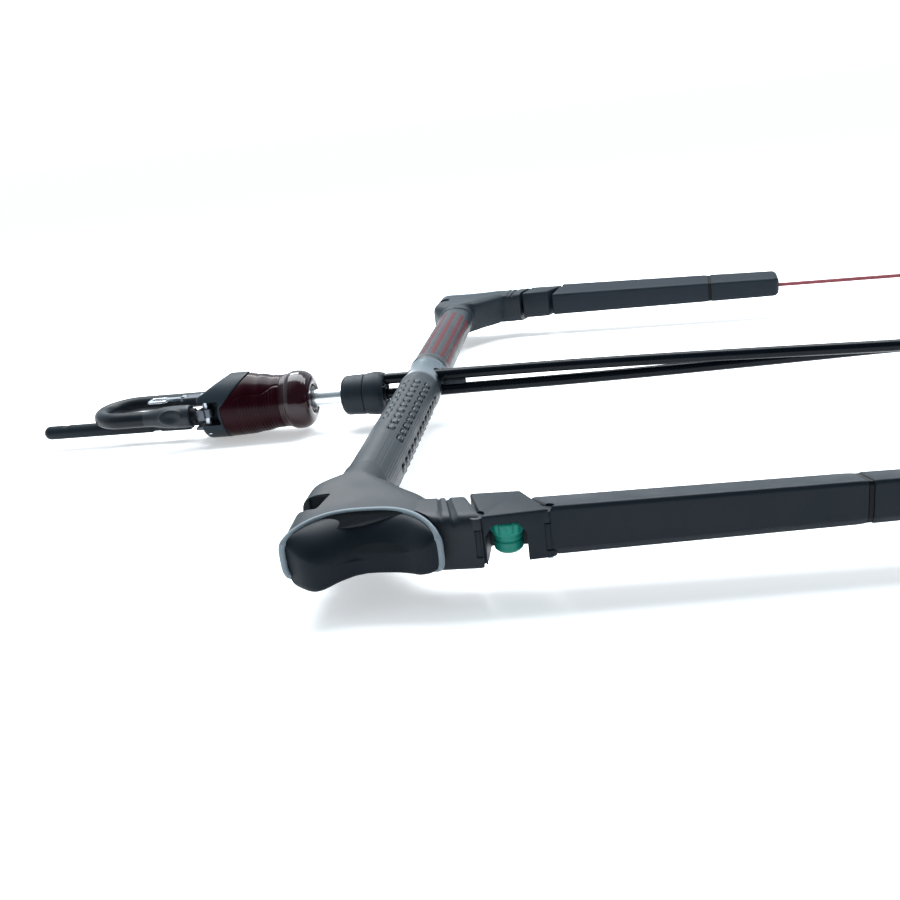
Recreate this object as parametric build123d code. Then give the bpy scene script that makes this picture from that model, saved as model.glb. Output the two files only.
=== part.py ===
"""Kitesurf control bar: harness loop, quick release, swivel, centre lines, bar, winders and floats.

Millimetres. +X runs towards the kite, +Y to the rider's left, +Z up. Everything is drawn from the
bar's centre, and save() moves it so that the origin is at the bottom centre of the whole object.
"""
from build123d import *
from math import acos, cos, pi, radians, sin, tan
import os

os.makedirs("parts", exist_ok=True)

# Clearances
RUN = 0.06          # radial clearance of a turning or sliding pin
FIT = 0.03          # radial clearance of a pressed pin
SEAT = 0.05         # clearance of a piece seated in its pocket
GAP = 0.3           # between bodies that move past each other

# Centre lines
LINE_R = 3.8
LINE_HALF_GAP = 5.35            # half the spacing of the two lines at the bar
LINE_ROUTE = [                  # x, y, z of the upper line; the lower one is its half turn about X
    (-36.0, 0.0, 5.35),
    (70.0, 0.0, 5.35),
    (150.0, -1.6, 4.7),
    (230.0, -3.4, 3.3),
    (316.0, -4.4, 1.25),
    (338.0, -4.4, 1.25),
]
LINE_BEND_SHARE = 0.45          # share of the shorter run that each bend takes up
SPACER_X = (14.0, 29.0)
SPACER_WIDE = 6.0
SPACER_THICK = 2 * (LINE_HALF_GAP - LINE_R - 0.25)

# Line stopper and its eye
STOP_X = (327.0, 349.0)
STOP_R = 10.5
EYE_X = 358.0
EYE_R = 8.0
EYE_BORE_R = 4.0
EYE_LONG = 6.0
EYE_ROUND = 1.2
SHANK_R = 2.5
SHANK_DEEP = 5.0
STOP_ROUND = 2.5

# Release axis, below the bar's centre
AXIS_Z = -4.3

# Swivel head and post
HEAD_X = (-57.0, -41.0, -27.0)
POST_R = 6.1
POST_TAIL_X = -100.0
POST_FLANGE_R = POST_R + 2.9
POST_FLANGE_LONG = 3.0
CAVITY_R = POST_FLANGE_R + 1.5
HEAD_WALL = 3.3
HEAD_REAR_R = CAVITY_R + HEAD_WALL
HEAD_FRONT_R = HEAD_REAR_R + 1.2
CAVITY_X = (-52.0, -41.0)
SCREW_R = 1.5
SCREW_X = -48.0

# Release core, spring and grip
CORE_WALL = 2.87
CORE_R = POST_R + FIT + CORE_WALL
SPRING_SPACE = 3.0              # between the core and the grip
COLLAR_PLAY = 0.4
CORE_X = (-146.0, -84.0)
COLLAR_X = (-87.0, -84.0)
GRIP_BORE_R = CORE_R + SPRING_SPACE
COLLAR_R = GRIP_BORE_R - COLLAR_PLAY
GRIP_STEP_X = (-112.0, -110.0)
GRIP_R = 22.3
GRIP_SHAPE = [(-118.0, 21.7), (-108.0, 20.0), (-100.5, 18.4)]      # x, radius down to the waist
WAIST_R = 18.4
FLANGE_X = (-99.0, -78.0)
FLANGE_SHAPE = [(-94.5, 20.0), (-91.0, 20.4), (-86.5, 20.4), (-81.5, 18.6), (-78.0, 14.8)]
LID_X = -83.5
BUSH_WALL = 3.04
BUSH_R = POST_R + RUN + BUSH_WALL

# Front housing
HOUSING_R = 22.5
HOUSING_X = -157.0
SPLIT_LOW_X = -140.0
SPLIT_TOP_X = -124.0
SLOPE_Z = 11.0                  # height above the axis where the top slope starts at the front face
SLOPE_X = -136.0                # where the top slope ends

# Latch
LATCH_X = (-155.0, -141.5)
LATCH_PIN_X = -152.5
LATCH_WIDE = 6.0
LATCH_Z = (CORE_R + 1.0, CORE_R + 4.2)
LATCH_POCKET_TOP = LATCH_Z[1] + 3.3

# Harness loop
LOOP_R = 5.5
LOOP_HALF = 20.5
LOOP_BEND_X = -215.0
LOOP_END_X = -163.0
SLEEVE_WALL = 2.25
SLEEVE_R = LOOP_R + SEAT + SLEEVE_WALL
SLEEVE_X = (-184.0, -161.0)
RIB_R = 5.2
RIB_X = (-161.0, -157.6)
LOOP_PIN_R = 2.0
LUG_R = 4.6
LUG_ROOM = 0.6
CORE_SHELL = 0.8                # of the housing, between the core and the loop's pocket
LOOP_PIN = (-152.0, -(CORE_R + CORE_SHELL + LUG_ROOM + LUG_R))
LUG_THICK = 6.0
LOOP_POCKET_R = 13.0
LOOP_POCKET_WALL = 1.0          # left between the loop's pocket and the split
LOOP_POCKET_Z = 8.3
TONGUE_X = (-168.0, -152.0)
TONGUE_WIDE = 5.0
TONGUE_THICK = 6.0

# Brackets on the front housing, keeper clip and locking stick
BRACKET_X = -168.0
KEEPER_PIN_X = -171.0
KEEPER_Y = (-10.0, -1.0)
KEEPER_Z = 4.2
KEEPER_X = -183.0
BAIL_R = 0.9
BAIL_X = -196.0
SMALL_PIN_R = 1.2
STICK_R = 5.0
STICK_ROOM = 0.6                # under the loop
STICK_Z = AXIS_Z - LOOP_R - STICK_ROOM - STICK_R
STICK_X = (-286.0, -171.0)
STICK_PIN_X = -163.0
TILT_PIN_X = -176.0
BLADE_THICK = 3.2

# Bar
INSERT_HALF = 22.0
LINE_SLACK = 0.4                # room for the two lines in the bushing
BUSHING_WALL = 1.45
BUSHING_PLAY = 0.2
INSERT_WALL = 3.0
BUSHING_BORE_R = LINE_HALF_GAP + LINE_R + LINE_SLACK
BUSHING_R = BUSHING_BORE_R + BUSHING_WALL
BORE_R = BUSHING_R + BUSHING_PLAY
INSERT_R = BORE_R + INSERT_WALL
BUSHING_HALF = 5.2
STEER_DEG = 12.0
TUBE_R = 9.0
TUBE_WALL = 2.0
TUBE_Y = (16.0, 232.0)
GRIP_SLEEVE_R = 13.7
GRIP_SLEEVE_Y = (22.3, 186.0)

# Bar end (winder)
END_Z = (-13.5, 13.5)
END_OUTLINE = [                 # seen from above: collar, winder with two lobes, arm to the float
    (-13.0, 186.0),
    (-22.0, 208.0),
    (-22.0, 256.0),
    (-12.0, 268.0),
    (0.0, 266.0),
    (9.0, 257.5),
    (29.0, 257.5),
    (37.0, 262.0),
    (47.0, 262.0),
    (49.0, 257.2),
    (64.5, 257.2),
    (54.0, 230.5),
    (42.0, 230.5),
    (24.0, 219.0),
    (13.0, 186.0),
]
END_PLAIN_Y = 200.0             # inwards of here the edges are left sharp
END_ROUND = 3.5
END_CHAMFER = 2.2
ARM_X = 48.0                    # where the arm to the float begins
END_COLLAR_R = 14.6
END_COLLAR_Y = (176.0, 204.0)
BEAD_TOP_Y = 242.5
BEAD_LOW_Y = 253.0
BEAD_THICK = 2.2
SLOT_X = (-18.5, -11.5)
SLOT_Y = (221.0, 235.0)

# Neck link, hinges and knob
HINGE_1 = (62.0, 253.9)
HINGE_2 = (91.0, 250.2)
ARM_INNER = (52.5, 232.0)
LINK_INNER_X = 79.5
INNER_Y = 230.5
WEDGE_DEG = 9.5
BARREL_R = 3.0
BARREL_HALF = 6.0
HINGE_PIN_R = 1.2
KNOB = (73.8, 247.3)
KNOB_R = 8.1
KNOB_LOW_R = 6.3
KNOB_Z = (-7.2, 1.5, 7.8)
KNOB_PIN_R = 1.5
WINDOW_ROOM = 0.5               # beside the knob
WINDOW_X = (KNOB[0] - KNOB_R - WINDOW_ROOM, KNOB[0] + KNOB_R + WINDOW_ROOM)
WINDOW_Y = KNOB[1] - KNOB_R - 1.0
WINDOW_TOP = KNOB_Z[2] + 0.4
WINDOW_CORNER = 1.5

# Float
FLOAT_START = (60.0, 245.0)
TOE_DEG = 4.55
FLOAT_IN = -12.3
FLOAT_OUT = 11.5
FLOAT_TOP_IN = 9.5
FLOAT_TOP_OUT = 14.0
FLOAT_LOW = -10.0
RING_X = (160.0, 162.5)         # along the float, from FLOAT_START
FLOAT_END = 219.0
RING_SHRINK = 0.85
END_SHRINK = 0.78
LEADER_R = 1.6
CHANNEL_R = LEADER_R + 1.0
LEADER_IN = 16.0
LEADER_OUT = 112.0
KNOT_R = 4.0

# The whole object without its lines: middle in X, and the surface that it rests on
MIDDLE_X = (STICK_X[0] + FLOAT_START[0] + FLOAT_END * cos(radians(TOE_DEG))) / 2
GROUND_Z = AXIS_Z - HOUSING_R
FAR = 400.0


def save(name, shape):
    """Write one node, moved to the object's own origin."""
    placed = Pos(-MIDDLE_X, 0, -GROUND_Z) * shape
    placed.label = name
    export_step(placed, f"parts/{name}.step")


def rod_x(x0, x1, r, y=0.0, z=0.0):
    """Round bar along X."""
    return Pos((x0 + x1) / 2, y, z) * Rot(0, 90, 0) * Cylinder(r, x1 - x0)


def rod_y(y0, y1, r, x=0.0, z=0.0):
    """Round bar along Y."""
    return Pos(x, (y0 + y1) / 2, z) * Rot(90, 0, 0) * Cylinder(r, y1 - y0)


def rod_z(z0, z1, r, x=0.0, y=0.0):
    """Round bar along Z."""
    return Pos(x, y, (z0 + z1) / 2) * Cylinder(r, z1 - z0)


def block(x, y, z):
    """Box between pairs of limits."""
    centre = Pos((x[0] + x[1]) / 2, (y[0] + y[1]) / 2, (z[0] + z[1]) / 2)
    return centre * Box(x[1] - x[0], y[1] - y[0], z[1] - z[0])


def prism_xy(points, z0, z1):
    """Polygon in the XY plane, extruded between two heights."""
    face = make_face(Polyline(*points, close=True))
    return Pos(0, 0, z0) * extrude(face, z1 - z0)


def prism_xz(points, half_y):
    """Polygon in the XZ plane, extruded both ways along Y."""
    face = make_face(Plane.XZ * Polyline(*points, close=True))
    return extrude(face, half_y, both=True)


def turned(points):
    """Profile of (x, radius) pairs turned about the release axis."""
    outline = [(x, AXIS_Z + r) for x, r in points]
    face = make_face(Plane.XZ * Polyline(*outline, close=True))
    return revolve(face, Axis((0, 0, AXIS_Z), (1, 0, 0)))


def direction(angle_deg):
    """Unit vector in the XY plane."""
    return cos(radians(angle_deg)), sin(radians(angle_deg))


def both_sides(name, left_shape):
    """Save a piece of the left end and its mirror image on the right."""
    save(f"left_{name}", left_shape)
    save(f"right_{name}", mirror(left_shape, about=Plane.XZ))


# ---- centre lines, swivel head ----

def bend_radii(route):
    """Radius of each bend, so that its arc ends at 0.45 of the shorter run beside it."""
    points = [Vector(*p) for p in route]
    radii = []
    for before, here, after in zip(points, points[1:], points[2:]):
        arriving = here - before
        leaving = after - here
        turn = acos(arriving.normalized().dot(leaving.normalized()))
        run = min(arriving.length, leaving.length)
        radii.append(LINE_BEND_SHARE * run / tan(turn / 2))
    return radii


def centre_line(lower):
    turn = -1 if lower else 1
    route = [(x, turn * y, turn * z) for x, y, z in LINE_ROUTE]
    radii = bend_radii(route)
    path = FilletPolyline(*route, radius=radii)
    line = sweep(Plane(path @ 0, z_dir=path % 0) * Circle(LINE_R), path=path)
    expected = pi * LINE_R**2 * path.length
    print("centre line bend radii", [round(r, 1) for r in radii])
    print("centre line length", round(path.length, 1), "volume", round(line.volume), "of", round(expected))
    return line


def line_bores(x0, x1, r, y, z):
    return rod_x(x0, x1, r, y, z) + rod_x(x0, x1, r, -y, -z)


def swivel_head_rear():
    body = rod_x(HEAD_X[0], HEAD_X[1], HEAD_REAR_R, z=AXIS_Z)
    body = fillet(body.edges().group_by(Axis.X)[0], 2.0)
    body -= rod_x(HEAD_X[0] - 1, HEAD_X[1], POST_R + RUN, z=AXIS_Z)
    body -= rod_x(CAVITY_X[0], CAVITY_X[1], CAVITY_R, z=AXIS_Z)
    top = AXIS_Z + HEAD_REAR_R
    return body - rod_z(top - 2.6, top + 1, SCREW_R + FIT, SCREW_X)


def swivel_head_front():
    body = rod_x(HEAD_X[1], HEAD_X[2], HEAD_FRONT_R, z=AXIS_Z)
    body = fillet(body.edges().group_by(Axis.X)[-1], 1.2)
    recess = rod_x(HEAD_X[2] - 2.0, HEAD_X[2] + 1, 4.0, z=AXIS_Z - 6.0)
    start = LINE_ROUTE[0][0]
    return body - line_bores(start, HEAD_X[2] + 1, LINE_R + SEAT, 0, LINE_HALF_GAP) - recess


def swivel_bearing():
    ring = rod_x(CAVITY_X[0] + SEAT, bearing_front(), CAVITY_R - SEAT, z=AXIS_Z)
    return ring - rod_x(CAVITY_X[0], HEAD_X[1], POST_R + RUN, z=AXIS_Z)


def bearing_front():
    return flange_back() - 0.1


def flange_back():
    return HEAD_X[1] - 0.5 - POST_FLANGE_LONG


def swivel_post():
    flange = rod_x(flange_back(), flange_back() + POST_FLANGE_LONG, POST_FLANGE_R, z=AXIS_Z)
    return rod_x(POST_TAIL_X, flange_back() + 1, POST_R, z=AXIS_Z) + flange


def head_screw():
    top = AXIS_Z + HEAD_REAR_R
    screw = rod_z(top - 2.55, top - 0.5, SCREW_R, SCREW_X)
    return screw - rod_z(top - 1.6, top, 0.7, SCREW_X)


def line_spacer():
    half = SPACER_WIDE / 2
    plate = block(SPACER_X, (-half, half), (-SPACER_THICK / 2, SPACER_THICK / 2))
    return fillet(plate.edges().filter_by(Axis.Z), 1.8)


def line_stopper():
    body = rod_x(STOP_X[0], STOP_X[1], STOP_R)
    body = fillet(body.edges(), STOP_ROUND)
    end = LINE_ROUTE[-1]
    body -= line_bores(STOP_X[0] - 1, end[0] + SEAT, LINE_R + SEAT, end[1], end[2])
    return body - rod_x(STOP_X[1] - SHANK_DEEP, STOP_X[1] + 1, SHANK_R + FIT)


def line_eye():
    ring = rod_z(-EYE_LONG / 2, EYE_LONG / 2, EYE_R, EYE_X)
    ring = fillet(ring.edges(), EYE_ROUND)
    ring += rod_x(STOP_X[1] - SHANK_DEEP + SEAT, EYE_X - EYE_R + 2, SHANK_R)
    return ring - rod_z(-EYE_LONG, EYE_LONG, EYE_BORE_R, EYE_X)


# ---- release unit ----

def release_core():
    body = rod_x(CORE_X[0], CORE_X[1], CORE_R, z=AXIS_Z)
    body += rod_x(COLLAR_X[0], COLLAR_X[1], COLLAR_R, z=AXIS_Z)
    return body - rod_x(POST_TAIL_X - SEAT, CORE_X[1] + 1, POST_R + FIT, z=AXIS_Z)


def release_spring():
    ring = rod_x(GRIP_STEP_X[1] + 0.1, COLLAR_X[0] - 0.1, COLLAR_R - 0.1, z=AXIS_Z)
    return ring - rod_x(GRIP_STEP_X[1], COLLAR_X[0], CORE_R + 0.4, z=AXIS_Z)


def behind_split(gap):
    """Everything on the kite side of the housing's split line."""
    low = AXIS_Z - 40
    mid = AXIS_Z + 4
    top = AXIS_Z + HOUSING_R - 1
    outline = [
        (SPLIT_LOW_X + gap, low),
        (SPLIT_LOW_X + gap, mid),
        (SPLIT_TOP_X + gap, top),
        (SPLIT_TOP_X + gap, AXIS_Z + 40),
        (0, AXIS_Z + 40),
        (0, low),
    ]
    return prism_xz(outline, 60)


def front_housing():
    body = rod_x(HOUSING_X, SPLIT_TOP_X, HOUSING_R, z=AXIS_Z)
    body = fillet(body.edges().group_by(Axis.X)[0], 5.0)
    slope = [
        (HOUSING_X - 20, AXIS_Z + SLOPE_Z - 20 * slope_rise()),
        (SLOPE_X, AXIS_Z + HOUSING_R),
        (SLOPE_X, AXIS_Z + 60),
        (HOUSING_X - 20, AXIS_Z + 60),
    ]
    body -= prism_xz(slope, 60)
    body -= behind_split(0)
    body -= rod_x(CORE_X[0] - SEAT, 0, CORE_R + SEAT, z=AXIS_Z)
    pocket = rod_z(AXIS_Z - LOOP_POCKET_Z, AXIS_Z + LOOP_POCKET_Z, LOOP_POCKET_R, *LOOP_PIN)
    body -= pocket & block((-FAR, SPLIT_LOW_X - LOOP_POCKET_WALL), (-FAR, -CORE_R - CORE_SHELL), (-FAR, FAR))
    body -= pin_bore(LOOP_PIN, HOUSING_R, LOOP_PIN_R + FIT)
    tongue_half = TONGUE_THICK / 2 + GAP
    body -= block(
        (HOUSING_X - 1, TONGUE_X[1] + GAP),
        (LOOP_HALF - TONGUE_WIDE / 2 - 1.2, 60),
        (AXIS_Z - tongue_half, AXIS_Z + tongue_half),
    )
    body -= block(
        (LATCH_X[0] - 0.6, 0),
        (-LATCH_WIDE / 2 - GAP, LATCH_WIDE / 2 + GAP),
        (AXIS_Z + CORE_R, AXIS_Z + LATCH_POCKET_TOP),
    )
    pin_z = AXIS_Z + sum(LATCH_Z) / 2
    return body - rod_y(-6, 6, SMALL_PIN_R + FIT, LATCH_PIN_X, pin_z)


def slope_rise():
    return (HOUSING_R - SLOPE_Z) / (SLOPE_X - HOUSING_X)


def pin_bore(place, half, r):
    return rod_z(AXIS_Z - half, AXIS_Z + half, r, *place)


def front_bracket():
    """Metal lugs on the housing's front face: the keeper's above, the stick's below."""
    low = AXIS_Z + 8.6
    keeper = block((BRACKET_X, HOUSING_X - SEAT), KEEPER_Y, (low - 4.0, low + 1.2))
    ears = block((KEEPER_PIN_X - 2.2, BRACKET_X + 1), KEEPER_Y, (low - 4.0, low + 1.2))
    inner = (KEEPER_Y[0] + 2.2, KEEPER_Y[1] - 2.2)
    keeper += ears
    keeper -= block((KEEPER_PIN_X - 4, KEEPER_PIN_X + 2.6), inner, (low - 10, low + 10))
    keeper -= rod_y(-30, 30, SMALL_PIN_R + FIT, KEEPER_PIN_X, KEEPER_Z)
    stick = block((STICK_PIN_X - 3.4, HOUSING_X - SEAT), (-6, 6), (STICK_Z - 4.4, STICK_Z + 3.8))
    stick -= block((STICK_PIN_X - 4, STICK_PIN_X + 4.4), (-7, 7), (STICK_Z - 2.3, STICK_Z + 2.3))
    stick -= rod_z(STICK_Z - 9, STICK_Z + 9, SMALL_PIN_R + FIT, STICK_PIN_X)
    return Compound(children=[keeper, stick])


def unit_pins():
    """The plain pins pressed into the release unit, as one group."""
    latch_z = AXIS_Z + sum(LATCH_Z) / 2
    pins = [
        rod_z(AXIS_Z - 15.5, AXIS_Z + 13.5, LOOP_PIN_R, *LOOP_PIN),
        rod_y(-5.5, 5.5, SMALL_PIN_R, LATCH_PIN_X, latch_z),
        rod_y(KEEPER_Y[0], KEEPER_Y[1], SMALL_PIN_R, KEEPER_PIN_X, KEEPER_Z),
        rod_z(STICK_Z - 4.2, STICK_Z + 3.6, SMALL_PIN_R, STICK_PIN_X),
    ]
    return Compound(children=pins)


def latch_lever():
    half = LATCH_WIDE / 2
    z = (AXIS_Z + LATCH_Z[0], AXIS_Z + LATCH_Z[1])
    lever = block((LATCH_PIN_X, LATCH_X[1]), (-half, half), z)
    mid = sum(z) / 2
    lever += rod_y(-half, half, (z[1] - z[0]) / 2, LATCH_PIN_X, mid)
    return lever - rod_y(-half - 1, half + 1, SMALL_PIN_R + RUN, LATCH_PIN_X, mid)


def release_grip():
    outline = [
        (SPLIT_LOW_X - 1, GRIP_BORE_R),
        (SPLIT_LOW_X - 1, GRIP_R),
        *GRIP_SHAPE,
        (FLANGE_X[0] - SEAT, WAIST_R),
        (FLANGE_X[0] - SEAT, GRIP_BORE_R),
        (GRIP_STEP_X[1], GRIP_BORE_R),
        (GRIP_STEP_X[1], CORE_R + 0.1),
        (GRIP_STEP_X[0], CORE_R + 0.1),
        (GRIP_STEP_X[0], GRIP_BORE_R),
    ]
    return turned(outline) & behind_split(GAP)


def grip_flange():
    outline = [
        (FLANGE_X[0], GRIP_BORE_R),
        (FLANGE_X[0], WAIST_R),
        *FLANGE_SHAPE,
        (FLANGE_X[1], BUSH_R + SEAT),
        (LID_X, BUSH_R + SEAT),
        (LID_X, GRIP_BORE_R),
    ]
    return turned(outline)


def flange_bush():
    ring = rod_x(LID_X, FLANGE_X[1] - 0.4, BUSH_R, z=AXIS_Z)
    return ring - rod_x(LID_X - 1, FLANGE_X[1] + 1, POST_R + RUN, z=AXIS_Z)


# ---- harness loop ----

def harness_loop():
    near = (LOOP_END_X, -LOOP_HALF)
    path = Polyline(near, (LOOP_BEND_X, -LOOP_HALF))
    path += ThreePointArc(
        (LOOP_BEND_X, -LOOP_HALF),
        (LOOP_BEND_X - LOOP_HALF, 0),
        (LOOP_BEND_X, LOOP_HALF),
    )
    path += Line((LOOP_BEND_X, LOOP_HALF), (LOOP_END_X - 2, LOOP_HALF))
    section = Plane(origin=(*near, 0), z_dir=(-1, 0, 0)) * Circle(LOOP_R)
    return Pos(0, 0, AXIS_Z) * sweep(section, path=path)


def loop_sleeve():
    body = rod_x(SLEEVE_X[0], SLEEVE_X[1], SLEEVE_R, -LOOP_HALF, AXIS_Z)
    body = fillet(body.edges().group_by(Axis.X)[-1], 1.0)
    body = chamfer(body.edges().group_by(Axis.X)[0], 2.0, 7.0, reference=body.faces().sort_by(Axis.X)[0])
    return body - rod_x(SLEEVE_X[0] - 1, LOOP_END_X, LOOP_R + SEAT, -LOOP_HALF, AXIS_Z)


def loop_ribs():
    ribs = rod_x(RIB_X[0] + SEAT, RIB_X[1], RIB_R - 0.8, -LOOP_HALF, AXIS_Z)
    step = (RIB_X[1] - RIB_X[0]) / 3
    for n in range(3):
        x = RIB_X[0] + SEAT + n * step
        ribs += rod_x(x, x + step * 0.55, RIB_R, -LOOP_HALF, AXIS_Z)
    return ribs


def loop_lug():
    z = (AXIS_Z - LUG_THICK / 2, AXIS_Z + LUG_THICK / 2)
    x, y = LOOP_PIN
    lug = rod_z(*z, LUG_R, x, y)
    lug += block((RIB_X[1] + SEAT, x), (-LOOP_HALF - 1.0, y - 1.0), z)
    return lug - rod_z(z[0] - 1, z[1] + 1, LOOP_PIN_R + RUN, x, y)


def loop_tongue():
    ferrule = rod_x(TONGUE_X[0] + 3.1, HOUSING_X - 0.8, LOOP_R + 0.2, LOOP_HALF, AXIS_Z)
    half = TONGUE_WIDE / 2
    z = (AXIS_Z - TONGUE_THICK / 2, AXIS_Z + TONGUE_THICK / 2)
    return ferrule + block((HOUSING_X - 2, TONGUE_X[1]), (LOOP_HALF - half, LOOP_HALF + half), z)


# ---- keeper clip, locking stick ----

def keeper_clip():
    y = (KEEPER_Y[0] + 2.5, KEEPER_Y[1] - 2.5)
    plate = block((KEEPER_X, KEEPER_PIN_X), y, (KEEPER_Z - 0.9, KEEPER_Z + 1.1))
    plate += rod_y(*y, 2.1, KEEPER_PIN_X, KEEPER_Z)
    return plate - rod_y(y[0] - 1, y[1] + 1, SMALL_PIN_R + RUN, KEEPER_PIN_X, KEEPER_Z)


def keeper_bail():
    y0, y1 = KEEPER_Y[0] + 0.4, KEEPER_Y[1] - 0.4
    near_x = KEEPER_X - 1.0
    path = FilletPolyline(
        (near_x, y0 + 3.2),
        (near_x, y0),
        (BAIL_X, y0),
        (BAIL_X, y1),
        (near_x, y1),
        (near_x, y1 - 3.2),
        radius=1.6,
    )
    path = Pos(0, 0, KEEPER_Z - 0.2) * path
    return sweep(Plane(path @ 0, z_dir=path % 0) * Circle(BAIL_R), path=path)


def stick_knuckle():
    knuckle = rod_z(STICK_Z - 2.1, STICK_Z + 2.1, 3.0, STICK_PIN_X)
    half = BLADE_THICK / 2
    knuckle += block((TILT_PIN_X, STICK_PIN_X - 1), (-half, half), (STICK_Z - 2.1, STICK_Z + 2.1))
    knuckle += rod_y(-half, half, 2.9, TILT_PIN_X, STICK_Z)
    knuckle -= rod_z(STICK_Z - 5, STICK_Z + 5, SMALL_PIN_R + RUN, STICK_PIN_X)
    return knuckle - rod_y(-5, 5, SMALL_PIN_R + FIT, TILT_PIN_X, STICK_Z)


def knuckle_pin():
    return rod_y(-STICK_R + 0.9, STICK_R - 0.9, SMALL_PIN_R, TILT_PIN_X, STICK_Z)


def locking_stick():
    stick = rod_x(STICK_X[0], STICK_X[1], STICK_R, z=STICK_Z)
    stick = fillet(stick.edges().group_by(Axis.X)[0], STICK_R - 0.1)
    half = BLADE_THICK / 2 + GAP
    stick -= block((TILT_PIN_X - 3.4, STICK_X[1] + 1), (-half, half), (STICK_Z - 9, STICK_Z + 9))
    return stick - rod_y(-9, 9, SMALL_PIN_R + RUN, TILT_PIN_X, STICK_Z)


# ---- bar ----

def centre_insert():
    body = rod_y(-INSERT_HALF, INSERT_HALF, INSERT_R)
    body = fillet(body.edges().group_by(Axis.Y)[0], 0.4)
    body -= Sphere(BORE_R)
    body -= rod_x(-30, 30, BUSHING_BORE_R + GAP)
    steer = tan(radians(STEER_DEG))
    half = BUSHING_BORE_R + GAP
    reach = INSERT_R + 2
    flare = [
        (0, -half),
        (reach, -half - reach * steer),
        (reach, half + reach * steer),
        (0, half),
        (-reach, half + reach * steer),
        (-reach, -half - reach * steer),
    ]
    body -= prism_xy(flare, -half + 3.0, half - 3.0)
    for side in (-1, 1):
        y = sorted((side * TUBE_Y[0], side * (INSERT_HALF + 1)))
        body -= rod_y(*y, TUBE_R + FIT)
    return body


def line_bushing():
    ball = Sphere(BUSHING_R) & block((-BUSHING_HALF, BUSHING_HALF), (-30, 30), (-30, 30))
    return ball - rod_x(-30, 30, BUSHING_BORE_R)


def core_tube():
    tube = rod_y(TUBE_Y[0] + SEAT, TUBE_Y[1] - SEAT, TUBE_R)
    return tube - rod_y(0, FAR, TUBE_R - TUBE_WALL)


def grip():
    sleeve = rod_y(*GRIP_SLEEVE_Y, GRIP_SLEEVE_R)
    return sleeve - rod_y(0, FAR, TUBE_R + SEAT)


def end_solid():
    face = make_face(Polyline(*END_OUTLINE, close=True))
    sharp = face.vertices().filter_by(lambda v: v.Y > END_PLAIN_Y and v.X < ARM_X)
    face = fillet(sharp, END_ROUND)
    body = extrude(face, END_Z[1] - END_Z[0])
    body = Pos(0, 0, END_Z[0]) * body
    rims = body.edges().filter_by(lambda e: abs(abs(e.center().Z) - END_Z[1]) < SEAT)
    rims = rims.filter_by(lambda e: e.center().Y > END_PLAIN_Y)
    return chamfer(rims, END_CHAMFER)


def bead_plane(shift):
    """Everything inwards of the piping's slanted plane, moved outwards by shift."""
    outline = [
        (0.0, END_Z[0] - 20),
        (bead_y(END_Z[0] - 20) + shift, END_Z[0] - 20),
        (bead_y(END_Z[1] + 20) + shift, END_Z[1] + 20),
        (0.0, END_Z[1] + 20),
    ]
    face = make_face(Plane.YZ * Polyline(*outline, close=True))
    return extrude(face, 120, both=True)


def bead_y(z):
    share = (END_Z[1] - z) / (END_Z[1] - END_Z[0])
    return BEAD_TOP_Y + share * (BEAD_LOW_Y - BEAD_TOP_Y)


def pad_side():
    """The lobed part of the bar end that the soft pad covers, without the arm."""
    return block((-FAR, ARM_X + 0.5), (0, FAR), (-FAR, FAR))


def end_pad():
    return (end_solid() & pad_side()) - bead_plane(BEAD_THICK + SEAT)


def piping():
    return (end_solid() & pad_side() & bead_plane(BEAD_THICK)) - bead_plane(SEAT)


def wedge_line(hinge, inner, angle=0.0):
    """Direction of a groove face, from its hinge inwards, turned by an angle."""
    dx = inner[0] - hinge[0]
    dy = inner[1] - hinge[1]
    c, s = direction(angle)
    return c * dx - s * dy, s * dx + c * dy


def kite_side(hinge, inner, angle=0.0):
    """Everything on the kite side of a groove face; an angle opens the groove inwards of its hinge."""
    out_x, out_y = wedge_line(hinge, inner)
    in_x, in_y = wedge_line(hinge, inner, angle)
    shift = GAP if angle else 0.0
    knee = (hinge[0] + shift, hinge[1])
    top = (knee[0] - out_x, knee[1] - out_y)
    low = (knee[0] + 2 * in_x, knee[1] + 2 * in_y)
    outline = [low, top, (FAR, top[1]), (FAR, low[1])]
    if angle:
        outline.insert(1, knee)
    return prism_xy(outline, -FAR, FAR)


def hinge_pin(hinge):
    return rod_z(-11.0, 11.0 - GAP, HINGE_PIN_R, *hinge)


def with_ears(body, hinge):
    """Parent side of a neck hinge: two ears round the pin, and room for the barrel between them."""
    for z in ((-9.5, -BARREL_HALF - GAP), (BARREL_HALF + GAP, 11.5)):
        body += rod_z(*z, BARREL_R + 0.2, *hinge)
    body -= rod_z(-BARREL_HALF - GAP, BARREL_HALF + GAP, BARREL_R + GAP, *hinge)
    return body - rod_z(-11.0, 11.0, HINGE_PIN_R + FIT, *hinge)


def with_barrel(body, hinge, web_x):
    """Child side of a neck hinge: a barrel on the pin with its web, clear of the ears."""
    x, y = hinge
    body -= rod_z(-60, 60, BARREL_R + 0.2 + GAP, x, y)
    body += rod_z(-BARREL_HALF, BARREL_HALF, BARREL_R, x, y)
    body += block((x - 0.5, web_x), (y - 5.0, y), (-BARREL_HALF, BARREL_HALF))
    return body - rod_z(-60, 60, HINGE_PIN_R + RUN, x, y)


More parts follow.
